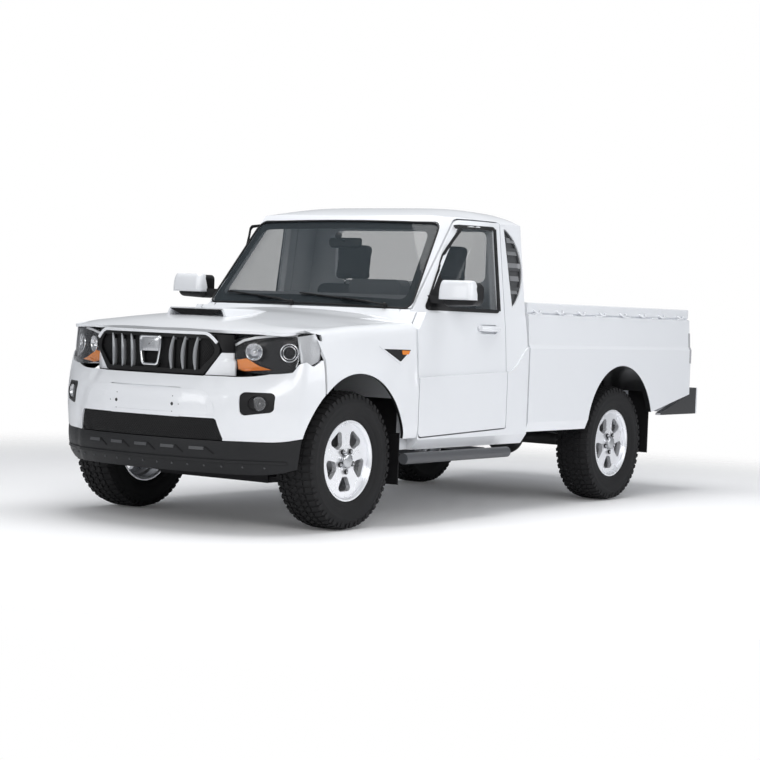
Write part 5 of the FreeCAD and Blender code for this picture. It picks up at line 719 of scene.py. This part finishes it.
def lamp_parts(way, side_name, side):
    """Reflector with ribs, projector with two rings, amber patch, brow and divider."""
    def inside(y, z, depth):
        spot, _ = onto("headlamps", (4, side * y, z), (-1, 0, 0))
        return (spot if spot else Vector((2.30, side * y, z))) - way * depth

    reflector, ribs, ring, lens, patch = Build(), Build(), Build(), Build(), Build()
    look = Vector((0.90, side * 0.42, -0.03)).normalized()
    spot = inside(0.603, 0.984, 0.046)
    reflector.lathe([(0.0, -0.010), (0.014, -0.010), (0.028, 0.000), (0.040, 0.016), (0.044, 0.024),
                     (0.047, 0.024), (0.047, 0.018)], spot, look, 40)
    reflector.lathe([(0.0, 0.018), (0.0085, 0.016), (0.0105, 0.008), (0.0105, -0.010)], spot, look, 20)
    right = look.cross(Vector((0, 0, 1))).normalized()
    up = right.cross(look).normalized()
    for k in range(7):
        a = math.radians(38 + 17.3 * k)
        out = right * math.cos(a) + up * math.sin(a)
        ribs.tube([spot + out * 0.012 + look * 0.016, spot + out * 0.045 + look * 0.024], 0.0016, 6)
    look = Vector((0.86, side * 0.50, -0.03)).normalized()
    spot = inside(0.775, 0.985, 0.042)
    ring.lathe([(0.050, 0.004), (0.052, 0.016), (0.048, 0.020), (0.044, 0.014), (0.041, -0.010)], spot, look,
               44)
    ring.lathe([(0.037, 0.000), (0.037, 0.012), (0.034, 0.014), (0.032, 0.006), (0.031, -0.010)], spot, look,
               44)
    lens.lathe([(0.0, 0.014), (0.010, 0.013), (0.021, 0.009), (0.028, 0.002), (0.031, -0.006),
                (0.031, -0.012), (0.0, -0.012)], spot, look, 36)
    patch.prism([inside(y, z, 0.018) - way * 0.012 for y, z in AMBER_OUTLINE],
                [inside(y, z, 0.018) for y, z in AMBER_OUTLINE])
    ribbon([inside(y, z, 0.014) for y, z in BROW_LINE], 0.013, 0.006, way).done(
        f"headlamp_brow_{side_name}", BROW_WHITE, slot="lamp_clear")
    ribbon([inside(y, z, 0.022) for y, z in DIVIDER_LINE], 0.006, 0.012, way).done(
        f"headlamp_divider_{side_name}", SATIN_SILVER, slot="alloy")
    for build, name, mat, smooth in ((reflector, "reflector", CHROME, True), (ribs, "ribs", CHROME, True),
                                     (ring, "ring", CHROME, True), (lens, "projector", MESH_BLACK, True),
                                     (patch, "amber", AMBER, False)):
        build.done(f"headlamp_{name}_{side_name}", mat, slot="lamp_clear", smooth=smooth)


CORNER_SIZE = 13
CORNER_FRONT = (Vector((2.208, 1.068)), Vector((2.196, 0.896)))
CORNER_REAR = (Vector((2.112, 1.088)), Vector((2.070, 0.950)))


def lamp_corner(side_name, side):
    """Pale outer corner: one smooth panel from the cover's outer end to the wing."""
    def skin(x, z):
        hits = [onto(node, (x, side * 3, z), (0, -side, 0))[0] for node in ("headlamps", "front_wings")]
        return max([hit.y * side for hit in hits if hit] + [0.70])

    count, last = range(CORNER_SIZE), CORNER_SIZE - 1
    spots = []
    for i in count:
        front, rear = (top.lerp(foot, i / last) for top, foot in (CORNER_FRONT, CORNER_REAR))
        spots.append([front.lerp(rear, j / last) for j in count])

    def smoothed(i, j):
        """The mean of a level and its four neighbours."""
        near = ((i, j), (min(i + 1, last), j), (max(i - 1, 0), j), (i, min(j + 1, last)), (i, max(j - 1, 0)))
        return sum(levels[a][b] for a, b in near) / 5

    levels = [[skin(*spot) for spot in row] for row in spots]
    for _ in range(6):
        levels = [[smoothed(i, j) for j in count] for i in count]
    corner = Build()
    corner.panel([[Vector((spots[i][j].x, side * (levels[i][j] + 0.0045), spots[i][j].y)) for j in count]
                  for i in count], Vector((0, -side * 0.006, 0)))
    corner.done(f"headlamp_corner_{side_name}", CORNER_GREY, slot="lamp_clear")


def grille_filler(kind, low, high, mat, slot_name, side_name, side):
    """A panel between the grille and the lamp's inner end."""
    rows = []
    for k in range(9):
        z = low + (high - low) * k / 8
        edge = grille_half(z) + 0.006
        start_x = grille_bow(edge, 0.006)
        end = max(0.470 + (0.026 if z < 0.93 else 0.012), edge + 0.012)
        rows.append([Vector((start_x + (LAMP_INNER_X - start_x) * t ** 1.3, side * (edge + (end - edge) * t), z))
                     for t in (i / 5 for i in range(6))])
    fill = Build()
    fill.panel(rows, Vector((-0.012, 0, 0)))
    fill.done(f"grille_{kind}_{side_name}", mat, slot=slot_name)


for side_name, side in SIDES:
    lamp_verts, lamp_faces, lamp_way = lamp_face(side)
    shell(lamp_verts, lamp_faces, lamp_way, side_name, side)
    lamp_parts(lamp_way, side_name, side)
    lamp_corner(side_name, side)
    grille_filler("foot", 0.846, 0.968, FILLER, "paint_white", side_name, side)
    grille_filler("shoulder", 0.970, 1.066, MESH_BLACK, "black_trim", side_name, side)


# ---- cab: screen border, wipers, window rubbers, mirror caps, handle, side repeater ----
SCREEN_LOW, SCREEN_HIGH, SCREEN_CROWN = 1.246, 1.758, 0.012


def glass_x(y, z):
    """X of the windscreen at a place across and up."""
    return nose_x("fixed_glass", y, z, 1.0)


def screen_outline(low_half, high_half, low, high):
    """A rounded outline on the windscreen, crowned at its top and foot."""
    corners = [(0, -low_half, low), (0, low_half, low), (0, high_half, high), (0, -high_half, high)]
    return [Vector((0, p.y, p.z + SCREEN_CROWN * (1 - (p.y / low_half) ** 2)))
            for p in fine(rounded(corners, 0.05, 6), 0.05)]


def resample(outline, count):
    """Points of a closed outline at even steps of its length."""
    lengths = [0]
    for a, b in zip(outline, outline[1:] + outline[:1]):
        lengths.append(lengths[-1] + (b - a).length)
    out = []
    for k in range(count):
        goal = lengths[-1] * k / count
        i = max(j for j in range(len(outline)) if lengths[j] <= goal + 1e-9)
        share = (goal - lengths[i]) / max(1e-9, lengths[i + 1] - lengths[i])
        out.append(outline[i].lerp(outline[(i + 1) % len(outline)], share))
    return out


def frit():
    """Dark band round the windscreen on its inner face, and the rubber seal round it."""
    outer = screen_outline(0.752, 0.676, SCREEN_LOW, SCREEN_HIGH)
    inner = screen_outline(0.700, 0.632, SCREEN_LOW + 0.050, SCREEN_HIGH - 0.046)
    pairs = list(zip(resample(outer, 160), resample(inner, 160)))
    levels = []
    for lift, shares in ((-0.0052, (0, 0.34, 0.67, 1)), (-0.0068, (1, 0.67, 0.34, 0))):
        for share in shares:
            spots = [a.lerp(b, share) for a, b in pairs]
            levels.append([Vector((glass_x(p.y, p.z) + lift, p.y, p.z)) for p in spots])
    band, seal = Build(), Build()
    band.ring(levels + [levels[0]])
    band.done("screen_frit", MESH_BLACK, slot="black_trim")
    seal.tube([Vector((glass_x(p.y, p.z) + 0.001, p.y * 1.012, 1.5 + (p.z - 1.5) * 1.012))
               for p in resample(outer, 200)], 0.0065, 8, closed=True)
    seal.done("screen_seal", "black_trim", smooth=True)


def wiper(name, pivot_y, tip_y, low, high):
    """Arm, blade and pivot cap of one wiper."""
    arm, blade, cap = Build(), Build(), Build()
    pivot = Vector((glass_x(pivot_y, 1.252) + 0.016, pivot_y, low))
    mid_y = (pivot_y + tip_y) / 2
    mid = Vector((glass_x(mid_y, high) + 0.022, mid_y, high - 0.004))
    arm.tube([pivot, pivot.lerp(mid, 0.4) + Vector((0.010, 0, 0.004)), mid], 0.0055, 8)
    path = []
    for k in range(17):
        y, z = pivot_y + (tip_y - pivot_y) * (0.18 + 0.82 * k / 16), low + 0.018 + (high - low) * k / 16
        path.append(Vector((glass_x(y, z) + 0.010, y, z)))
    blade.tube(path, 0.0055, 6)
    blade.tube([p + Vector((-0.006, 0, -0.001)) for p in path], 0.003, 4)
    cap.lathe([(0, 0.014), (0.010, 0.012), (0.013, 0.004), (0.013, -0.020)], pivot, (0.6, 0, 0.8), 20)
    for build, kind in ((arm, "arm"), (blade, "blade"), (cap, "pivot")):
        build.done(f"wiper_{kind}_{name}", "black_trim", smooth=True)


def inside_mirror():
    spot = Vector((glass_x(0.0, 1.68) - 0.012, 0.0, 1.68))
    stem, head, face = Build(), Build(), Build()
    centre = spot + Vector((-0.075, 0.0, -0.040))
    stem.lathe([(0, 0.006), (0.020, 0.006), (0.022, 0.0), (0.022, -0.006)], spot, (1, 0, 0.5), 20)
    stem.tube([spot, spot + Vector((-0.030, 0, -0.020)), centre + Vector((0.010, 0, 0.010))], 0.008, 10)
    corners = [(0, -0.118, -0.033), (0, 0.118, -0.033), (0, 0.124, 0.030), (0, -0.124, 0.030)]
    outline = rounded(corners, 0.026, 6)

    def level(x, wide, tall):
        return [centre + Vector((x, p.y * wide, p.z * tall)) for p in outline]

    rows = [level(x, scale, scale) for x, scale in ((0.016, 0.55), (0.013, 0.86), (0.004, 1.0), (-0.008, 1.0),
                                                    (-0.012, 0.97))]
    head.ring(rows)
    head.cap(rows[0])
    face.prism(level(-0.0125, 0.95, 0.92), level(-0.0095, 0.95, 0.92))
    stem.done("inside_mirror_stem", "dark_plastic", smooth=True)
    head.done("inside_mirror_head", "dark_plastic", smooth=True)
    face.done("inside_mirror_face", CHROME, slot="glass_clear")


MIRROR_INNER, MIRROR_OUTER = 0.905, 1.130
MIRROR_FRONT_X, MIRROR_REAR_X = AXLE_X - 0.790 + 0.052, AXLE_X - 0.790 - 0.052
CAP_SEAM_Z, CAP_TOP_Z, CAP_SKIN = 1.306, 1.4185, 0.0015


def mirror_cap(side_name, side):
    """White upper half of the outside mirror's housing, and the mirror's glass."""
    rows = []
    for k in range(17):
        a = math.pi / 2 * k / 16
        z = CAP_SEAM_Z + (CAP_TOP_Z - CAP_SEAM_Z) * math.sin(a) ** 0.9
        inset = 0.024 * (1 - (math.cos(a) ** 0.55 if k < 16 else 0.0))
        rear, front = MIRROR_REAR_X - CAP_SKIN + inset * 1.4, MIRROR_FRONT_X + CAP_SKIN - inset * 1.4
        near, far = side * (MIRROR_INNER - CAP_SKIN + inset), side * (MIRROR_OUTER + CAP_SKIN - inset)
        rows.append(rounded([(rear, near, z), (front, near, z), (front, far, z), (rear, far, z)], 0.034, 6))
    cap, face = Build(), Build()
    cap.ring(rows)
    cap.cap(rows[0], rows[-1])
    cap.done(f"mirror_cap_{side_name}", "paint_white", f"door_{side_name}", smooth=True)
    x, near, far = MIRROR_REAR_X - 0.0022, side * (MIRROR_INNER + 0.016), side * (MIRROR_OUTER - 0.014)
    outline = rounded([(x, near, 1.280), (x, far, 1.280), (x, far, 1.402), (x, near, 1.402)], 0.026, 6)
    face.prism(outline, [p + Vector((0.003, 0, 0)) for p in outline])
    face.done(f"mirror_glass_{side_name}", CHROME, f"door_{side_name}", slot="glass_clear")


WINDOW_CORNERS = [(AXLE_X - 0.775, 1.250), (AXLE_X - 1.480, 1.247), (AXLE_X - 1.487, 1.752),
                  (AXLE_X - 1.160, 1.750), (AXLE_X - 1.120, 1.735), (AXLE_X - 0.960, 1.500)]


def window_trim(side_name, side):
    """Rubber round the door's window and the black strip at its rear."""
    door = f"door_{side_name}"
    path = []
    for p in fine(rounded([(x, 0, z) for x, z in WINDOW_CORNERS], 0.022, 4), 0.05):
        # the door's skin is taken a little outside the window
        x, z = p.x + (p.x - (AXLE_X - 1.2)) * 0.022, 1.49 + (p.z - 1.49) * 1.030
        path.append(Vector((p.x, side_y(door, x, z, side, side * 0.80) + side * 0.0005, p.z)))
    even = [Vector((p.x, (path[i - 1].y + p.y + path[(i + 1) % len(path)].y) / 3, p.z))
            for i, p in enumerate(path)]
    ribbon(even, 0.022, 0.004, (0, side, 0.15), closed=True).done(
        f"window_rubber_{side_name}", "black_trim", door)
    post = []
    for k in range(11):
        z = 1.250 + 0.500 * k / 10
        y = side_y(door, AXLE_X - 1.505, z, side, side * 0.80) + side * 0.001
        post.append(Vector((AXLE_X - 1.490, y, z)))
    ribbon(post, 0.030, 0.0035, (0, side, 0.15)).done(
        f"window_post_{side_name}", "black_trim", door)


def door_handle(side_name, side):
    """Painted strap over the handle's dish."""
    door = f"door_{side_name}"
    x_mid, z_mid, half_long, half_thick = AXLE_X - 1.355, 1.138, 0.118, 0.0075
    skin = side_y(door, x_mid + 0.16, z_mid, side, side * 0.88)
    rows = []
    for k in range(25):
        bulge = math.sin(math.pi * k / 24)
        x, lift = x_mid + half_long * (1 - k / 12), 0.006 + 0.026 * bulge ** 0.42
        tall = 0.0145 * (0.8 + 0.2 * bulge)
        rows.append([Vector((x, skin + side * (lift + half_thick * math.cos(a)), z_mid + tall * math.sin(a)))
                     for a in (math.pi * q / 6 for q in range(12))])
    strap = Build()
    strap.ring(rows)
    strap.cap(rows[0], rows[-1])
    strap.done(f"handle_strap_{side_name}", "paint_white", door, smooth=True)


# name: outline as (behind the front axle, up), corner, lift, thickness, rings, material and slot
REPEATER = {
    "edge": ([(0.205, 1.027), (0.536, 1.022), (0.412, 0.922)], 0.010, 0.0004, 0.0032, 6, "paint_white", None),
    "panel": ([(0.248, 1.012), (0.520, 1.008), (0.408, 0.940)], 0.010, 0.0010, 0.0038, 6, "black_trim", None),
    "lamp": ([(0.425, 1.005), (0.505, 1.003), (0.490, 0.982), (0.428, 0.980)], 0.006, 0.004, 0.004, 3, AMBER,
             "lamp_clear")}


def repeater(side_name, side):
    """Dark triangle with an amber lamp on the wing, in a raised white edge."""
    where = on_side("front_wings", side, side * 0.89)
    for name, (outline, corner, lift, thick, rings, look, slot_name) in REPEATER.items():
        points = rounded([(AXLE_X - x, z, 0) for x, z in outline], corner, 4)
        points = points if name == "lamp" else fine(points, 0.03)
        slab(points, lift, thick, where, rings).done(f"repeater_{name}_{side_name}", look, slot=slot_name)


frit()
wiper("left", 0.600, -0.040, 1.262, 1.300)
wiper("right", -0.060, -0.640, 1.262, 1.298)
inside_mirror()
for dress in (mirror_cap, window_trim, door_handle, repeater):
    for side_name, side in SIDES:
        dress(side_name, side)


# ---- bonnet scoop's mesh, louvre blades, valance's painted highlights and shade, wheel caps and nuts, bed hooks ----
SCOOP_X, SCOOP_LOW, SCOOP_HIGH, SCOOP_HALF = 2.1055, 1.166, 1.200, 0.112


def scoop_mouth():
    """Dark panel in the scoop's mouth with upright and level wires before it."""
    outline = rounded([(SCOOP_X, -SCOOP_HALF, SCOOP_LOW), (SCOOP_X, SCOOP_HALF, SCOOP_LOW),
                       (SCOOP_X, 0.196, SCOOP_HIGH), (SCOOP_X, -0.196, SCOOP_HIGH)], 0.010, 4)
    panel, wires = Build(), Build()
    panel.prism(outline, [p + Vector((0.0025, 0, 0)) for p in outline])
    panel.done("scoop_panel", MESH_BLACK, "bonnet", slot="black_trim")
    for k in range(-21, 22):
        y = k * 0.0092
        low_z = 1.169 + max(0, abs(y) - 0.108) * 0.37
        if low_z < 1.196:
            wires.tube([(SCOOP_X + 0.003, y, low_z), (SCOOP_X + 0.003, y * 0.98, 1.1975)], 0.0013, 4)
    for k in range(5):
        z = 1.170 + 0.0065 * k
        half = 0.108 + (z - SCOOP_LOW) * 2.45
        wires.tube([(SCOOP_X + 0.0033, -half, z), (SCOOP_X + 0.0033, half, z)], 0.0013, 4)
    wires.done("scoop_mesh", "black_trim", "bonnet")


def louvre_blades(side_name, side):
    """Five blades from x 0.118 to where each one ends."""
    blades = Build()
    for z, reach in ((1.375, 0.025), (1.455, -0.004), (1.535, -0.020), (1.615, -0.008), (1.690, 0.035)):
        path = []
        for i in range(7):
            x = 0.118 + (reach - 0.118) * i / 6
            y = side_y("cab_louvres", x, z, side, side * (0.845 - (z - 1.35) * 0.15))
            path.append(Vector((x, y + side * 0.0025, z)))
        blades.grid(ribbon_rows(path, 0.032, 0.005, (0, side, 0.2)))
    blades.done(f"louvre_blades_{side_name}", LOUVRE_GREY, slot="alloy")


def valance_painted_highlights():
    """Five grey strips painted as highlights, each with a dark slant painted as shade along its edge, and a
    stepped lip with small bolts below.
    """
    def skin(y, z):
        return Vector((nose_x("bumper_valance", y, z, 2.5) + 0.0006, y, z))

    bright, dark, lip, bolts = Build(), Build(), Build(), Build()
    for k in range(5):
        start = -0.42 + 0.185 * k
        end = start + 0.088
        # grey strips laid on the valance: painted highlights standing for lit top faces
        bright.grid(ribbon_rows([skin(start + (end - start) * i / 4, 0.452) for i in range(5)], 0.017, 0.003,
                                (1, 0, 0.1)))
        # dark slants after them: painted shade along the slanted edges
        dark.grid(ribbon_rows([skin(end + 0.006 + 0.052 * i / 4, 0.462 - 0.036 * i / 4) for i in range(5)],
                              0.007, 0.002, (1, 0, 0.1)))
    ys = [-0.80 + 1.60 * i / 60 for i in range(61)]
    edge = [Vector((nose_x("bumper_valance", y, 0.385, 2.40), y, 0.388)) for y in ys]
    lip.grid(ribbon_rows(edge, 0.014, 0.010, (1, 0, 0)))
    for y in (-0.70 + 0.10 * k for k in range(15)):
        bolts.lathe([(0, 0.004), (0.004, 0.004), (0.0058, 0.002), (0.0058, -0.004)],
                    (nose_x("bumper_valance", y, 0.360, 2.45), y, 0.360), (1, 0, 0), 12)
    bright.done("valance_painted_highlights", HIGHLIGHT_AND_BOLT_GREY, slot="charcoal_trim")
    dark.done("valance_painted_shade", MESH_BLACK, slot="black_trim")
    lip.done("valance_lip", "charcoal_trim")
    bolts.done("valance_bolts", HIGHLIGHT_AND_BOLT_GREY, slot="charcoal_trim")


def rim_face(name, x, side):
    """How far out from the middle plane the hub of a rim lies."""
    hits = []
    for a in (math.pi * k / 6 for k in range(12)):
        start = (x + 0.030 * math.cos(a), side * 3, AXLE_Z + 0.030 * math.sin(a))
        hits.append(onto(f"rim_{name}", start, (0, -side, 0))[0])
    return max([abs(hit.y) for hit in hits if hit], default=0.80)


def wheel_dress(name, x, side):
    """Centre cap, nuts and their dark rings on one wheel."""
    centre = Vector((x, side * rim_face(name, x, side), AXLE_Z))
    cap, nuts, ring = Build(), Build(), Build()
    out = Vector((0, side, 0))
    cap.lathe([(0.0, 0.0165), (0.022, 0.0160), (0.035, 0.0140), (0.041, 0.0100), (0.043, 0.0000),
               (0.043, -0.010)],
              centre, out, 40)
    for k in range(5):
        a = math.radians(126 + 72 * k)
        spot = centre + Vector((0.062 * math.cos(a), 0, 0.062 * math.sin(a)))
        nuts.lathe([(0.0, 0.007), (0.005, 0.0065), (0.0078, 0.005), (0.0088, 0.0), (0.0088, -0.012)], spot,
                   out, 6)
        ring.lathe([(0.0098, 0.0012), (0.0140, 0.0012), (0.0150, 0.0), (0.0150, -0.006)], spot, out, 20)
    body = f"wheel_{name}"
    cap.done(f"wheel_cap_{name}", SATIN_SILVER, body, slot="alloy", smooth=True)
    nuts.done(f"wheel_nuts_{name}", SATIN_SILVER, body, slot="alloy")
    ring.done(f"wheel_nut_rings_{name}", "black_trim", body)


# a hook's bends: (along, out from the rail, up)
HOOK = ((0.042, -0.004, 1.268), (0.036, 0.012, 1.258), (0.018, 0.017, 1.248), (-0.018, 0.017, 1.248),
        (-0.036, 0.012, 1.258), (-0.042, -0.004, 1.268))


def bed_hooks():
    """White loops under the rail that ropes tie to."""
    hooks = Build()
    first, last = AXLE_X - 1.93, AXLE_X - 3.922
    for _, side in SIDES:
        for k in range(8):
            x = first + (last - first) * k / 7
            rail = side_y("load_bed", x, 1.290, side, side * 0.905)
            hooks.tube([(x + along, rail + side * out, z) for along, out, z in HOOK], 0.0055, 8)
    hooks.done("rail_hooks", "paint_white", smooth=True)


scoop_mouth()
for side_name, side in SIDES:
    louvre_blades(side_name, side)
valance_painted_highlights()
for wheel in WHEELS:
    wheel_dress(*wheel)
bed_hooks()


# ---- seats: pads swollen by cloth pressure, with sewn seams, on their plinths ----
SEAT_Y, SIM_FRAMES = 0.370, 20
PADS = {  # profile as (x, z), width, voxel, greatest movement
    "cushion": ([(0.645, 0.796), (0.645, 0.918), (0.190, 0.890), (0.190, 0.800)], 0.484, 0.010, 0.012),
    "back": ([(0.278, 0.880), (0.164, 1.408), (0.074, 1.408), (0.184, 0.880)], 0.484, 0.010, 0.012),
    "headrest": ([(0.146, 1.424), (0.124, 1.650), (0.046, 1.650), (0.064, 1.424)], 0.238, 0.008, 0.008),
}
SEAMS = {  # the way onto the pad, and each seam's name, start and end
    "cushion": ((0, 0, -1), (("bolster_in", (0.62, -0.15, 0.9), (0.30, -0.15, 0.9)),
                             ("bolster_out", (0.62, 0.15, 0.9), (0.30, 0.15, 0.9)),
                             ("cross", (0.45, -0.15, 0.9), (0.45, 0.15, 0.9)))),
    "back": ((-1, 0, 0), (("bolster_in", (0.3, -0.15, 0.95), (0.2, -0.15, 1.37)),
                          ("bolster_out", (0.3, 0.15, 0.95), (0.2, 0.15, 1.37)),
                          ("cross", (0.2, -0.15, 1.20), (0.2, 0.15, 1.20)))),
}


def applied(obj):
    """The object's mesh as its modifiers leave it."""
    return bpy.data.meshes.new_from_object(obj.evaluated_get(bpy.context.evaluated_depsgraph_get()))


def swell(obj, most):
    """Blows the pad up by cloth pressure and keeps no vertex's movement over the most."""
    cloth = obj.modifiers.new("cloth", "CLOTH")
    cloth.settings.use_pressure = True
    cloth.settings.uniform_pressure_force = 4
    cloth.settings.effector_weights.gravity = 0
    cloth.settings.quality = 4
    cloth.point_cache.frame_start, cloth.point_cache.frame_end = 1, SIM_FRAMES
    for step in range(1, SIM_FRAMES + 1):
        bpy.context.scene.frame_set(step)
    blown = applied(obj)
    obj.modifiers.clear()
    for vertex, new in zip(obj.data.vertices, blown.vertices):
        move = new.co - vertex.co
        vertex.co += move * (most / move.length) if move.length > most else move
    bpy.context.scene.frame_set(1)


def soft_pad(profile, wide, voxel, most):
    """A pad's mesh: the profile across its width, remeshed, swollen and smoothed."""
    outline = rounded([(x, 0, z) for x, z in profile], 0.030, 5)
    middle = sum(outline, Vector()) / len(outline)
    levels = []
    for share, inset in ((-1, 0.020), (-0.93, 0.005), (-0.80, 0), (0, 0), (0.80, 0), (0.93, 0.005),
                         (1, 0.020)):
        levels.append([middle + (p - middle) * (1 - inset / max(0.03, (p - middle).length))
                       + Vector((0, share * wide / 2, 0)) for p in outline])
    build = Build()
    build.ring(levels)
    build.cap(levels[0], levels[-1])
    obj = placed("pad", clean_mesh("pad", build.verts, build.faces))
    remesh = obj.modifiers.new("remesh", "REMESH")
    remesh.mode = "VOXEL"
    remesh.voxel_size = voxel
    obj.data = applied(obj)
    obj.modifiers.clear()
    swell(obj, most)
    obj.modifiers.new("soft", "SUBSURF").levels = 1
    final = applied(obj)
    bpy.data.objects.remove(obj)
    return final


def seam(name, mesh, start, end, way):
    """A sewn seam laid on a pad, cast onto it from outside."""
    tree = BVHTree.FromPolygons([v.co for v in mesh.vertices], [p.vertices for p in mesh.polygons])
    hits = [tree.ray_cast(start.lerp(end, k / 12) - way * 0.4, way)[0] for k in range(12)]
    path = [hit - way * 0.0006 for hit in hits if hit]
    if len(path) > 3:
        build = Build()
        build.tube(path, 0.0022, 6)
        build.done(name, SEAM_GREY, slot="seat_fabric", smooth=True)


def seat(pads, side_name, side):
    """One seat: its pads with their seams, the plinth on two rails and the headrest's posts."""
    shift = Vector((0, side * SEAT_Y, 0))
    for kind, pad in pads.items():
        mesh = pad.copy()
        for vertex in mesh.vertices:
            vertex.co += shift
        mesh.materials.clear()
        obj = piece(f"seat_{kind}_{side_name}", mesh, "seat_fabric", smooth=True)
        if side > 0 and kind == "cushion":
            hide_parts("seats")
        way, lines = SEAMS.get(kind, ((0, 0, -1), ()))
        for line, start, end in lines:
            seam(f"seat_{kind}_{line}_{side_name}", mesh, shift + Vector(start), shift + Vector(end),
                 Vector(way))
    plinth, posts = Build(), Build()
    low = side * SEAT_Y - 0.190
    plinth.box((0.239, low, 0.641), (0.589, low + 0.380, 0.800))
    for x in (0.270, 0.540):
        plinth.box((x - 0.02, low - 0.012, 0.6405), (x + 0.02, low + 0.392, 0.668))
    for dy in (-0.055, 0.055):
        posts.tube([shift + Vector((0.117, dy, 1.385)), shift + Vector((0.104, dy, 1.450))], 0.0065, 12)
    plinth.done(f"seat_plinth_{side_name}", "dark_plastic")
    posts.done(f"headrest_posts_{side_name}", CHROME, slot="bare_steel", smooth=True)


pad_meshes = {kind: soft_pad(*values) for kind, values in PADS.items()}
for side_name, side in SIDES:
    seat(pad_meshes, side_name, side)


# ---- camera, light and floor ----
# the camera fitted to the photograph: angles in degrees, place from the front axle, lens and centre in pixels
YAW, PITCH_DOWN, ROLL = -144.99, -2.52, 2.12
CAMERA_PLACE = (8.977 + AXLE_X, 7.333, 1.226)
PICTURE, FOCAL, CENTRE_X, CENTRE_Y, SENSOR = 760, 1999.6, 380.2, 398.8, 36


def camera():
    yaw, pitch, roll = (math.radians(v) for v in (YAW, PITCH_DOWN, ROLL))
    way = Vector((math.cos(pitch) * math.cos(yaw), math.cos(pitch) * math.sin(yaw), math.sin(pitch)))
    right = way.cross(Vector((0, 0, 1))).normalized()
    up = right.cross(way).normalized()
    across = right * math.cos(roll) + up * math.sin(roll)
    upward = up * math.cos(roll) - right * math.sin(roll)
    data = bpy.data.cameras.new("camera")
    data.sensor_width = SENSOR
    data.lens = SENSOR * FOCAL / PICTURE
    data.shift_x, data.shift_y = (PICTURE / 2 - CENTRE_X) / PICTURE, (CENTRE_Y - PICTURE / 2) / PICTURE
    data.clip_end = 100
    obj = placed("camera", data)
    obj.matrix_world = Matrix.Translation(CAMERA_PLACE) @ Matrix((across, upward, -way)).transposed().to_4x4()
    bpy.context.scene.camera = obj


def lamp(name, place, aim, size, power, colour=(1, 1, 1)):
    """A soft rectangular lamp that looks at a place."""
    data = bpy.data.lights.new(name, "AREA")
    data.shape = "RECTANGLE"
    data.size, data.size_y = size
    data.energy = power
    data.color = colour
    obj = placed(name, data)
    obj.location = place
    obj.rotation_euler = (Vector(aim) - Vector(place)).to_track_quat("-Z", "Y").to_euler()


def mixed_shader(nodes, links, factor, low, high, target):
    """Sends a mix of two shaders to a target."""
    mix = add_node(nodes, "MixShader")
    for source, socket in zip((factor, low, high), mix.inputs):
        links.new(source, socket)
    links.new(mix.outputs[0], target)


def white_world():
    """White where the camera looks, straight or through glass, and a dimmer sky for everything else."""
    world = bpy.data.worlds.new("world")
    bpy.context.scene.world = world
    world.use_nodes = True
    nodes, links = world.node_tree.nodes, world.node_tree.links
    path = add_node(nodes, "LightPath")
    dim = preset(nodes["Background"], {"Color": (0.93, 0.96, 1.0, 1), "Strength": 0.34})
    seen = add_node(nodes, "Background", {"Color": (1, 1, 1, 1), "Strength": 1.0})
    either = add_node(nodes, "Math", operation="MAXIMUM")
    links.new(path.outputs["Is Camera Ray"], either.inputs[0])
    links.new(path.outputs["Is Transmission Ray"], either.inputs[1])
    mixed_shader(nodes, links, either.outputs[0], dim.outputs[0], seen.outputs[0],
                 nodes["World Output"].inputs["Surface"])


def pale_floor(half=30, fade_from=3.2, fade_to=6.5):
    """A pale floor that fades into the white world well before its edge."""
    mesh = bpy.data.meshes.new("floor")
    mesh.from_pydata([(-half, -half, 0), (half, -half, 0), (half, half, 0), (-half, half, 0)], [],
                     [(0, 1, 2, 3)])
    obj = placed("floor", mesh)
    mat, nodes, links, base = shader("floor")
    preset(base, {"Base Color": (0.93, 0.93, 0.94, 1), "Roughness": 0.7, "Emission Color": (1, 1, 1, 1)})
    seen = add_node(nodes, "LightPath").outputs["Is Camera Ray"]
    glow = add_node(nodes, "Math", {1: 0.04}, operation="MULTIPLY")
    links.new(seen, glow.inputs[0])
    links.new(glow.outputs[0], base.inputs["Emission Strength"])
    where = add_node(nodes, "TexCoord")
    away = add_node(nodes, "VectorMath", operation="LENGTH")
    links.new(where.outputs["Object"], away.inputs[0])
    fade = add_node(nodes, "MapRange", {"From Min": fade_from, "From Max": fade_to},
                    interpolation_type="SMOOTHSTEP")
    links.new(away.outputs["Value"], fade.inputs["Value"])
    see_through = add_node(nodes, "Math", operation="MULTIPLY")
    links.new(seen, see_through.inputs[0])
    links.new(fade.outputs["Result"], see_through.inputs[1])
    clear = add_node(nodes, "BsdfTransparent")
    mixed_shader(nodes, links, see_through.outputs[0], base.outputs[0], clear.outputs[0],
                 nodes["Material Output"].inputs["Surface"])
    mesh.materials.append(mat)
    return obj


camera()
white_world()
floor = pale_floor()
lamp("top_soft", (0.5, 0.5, 6.5), (0, 0, 0), (5.5, 3.5), 330)
lamp("key_soft", (6.5, 6.0, 4.2), (0.5, 0, 0.8), (5, 3), 215, (1.0, 0.99, 0.97))
lamp("side_soft", (-2.5, 8.0, 3.2), (-1.0, 0, 0.8), (6, 3), 170, (0.97, 0.98, 1.0))
lamp("nose_soft", (9.0, -2.0, 3.0), (2.0, 0, 0.8), (4, 3), 110)
bpy.context.scene.view_settings.view_transform = "Standard"

import json
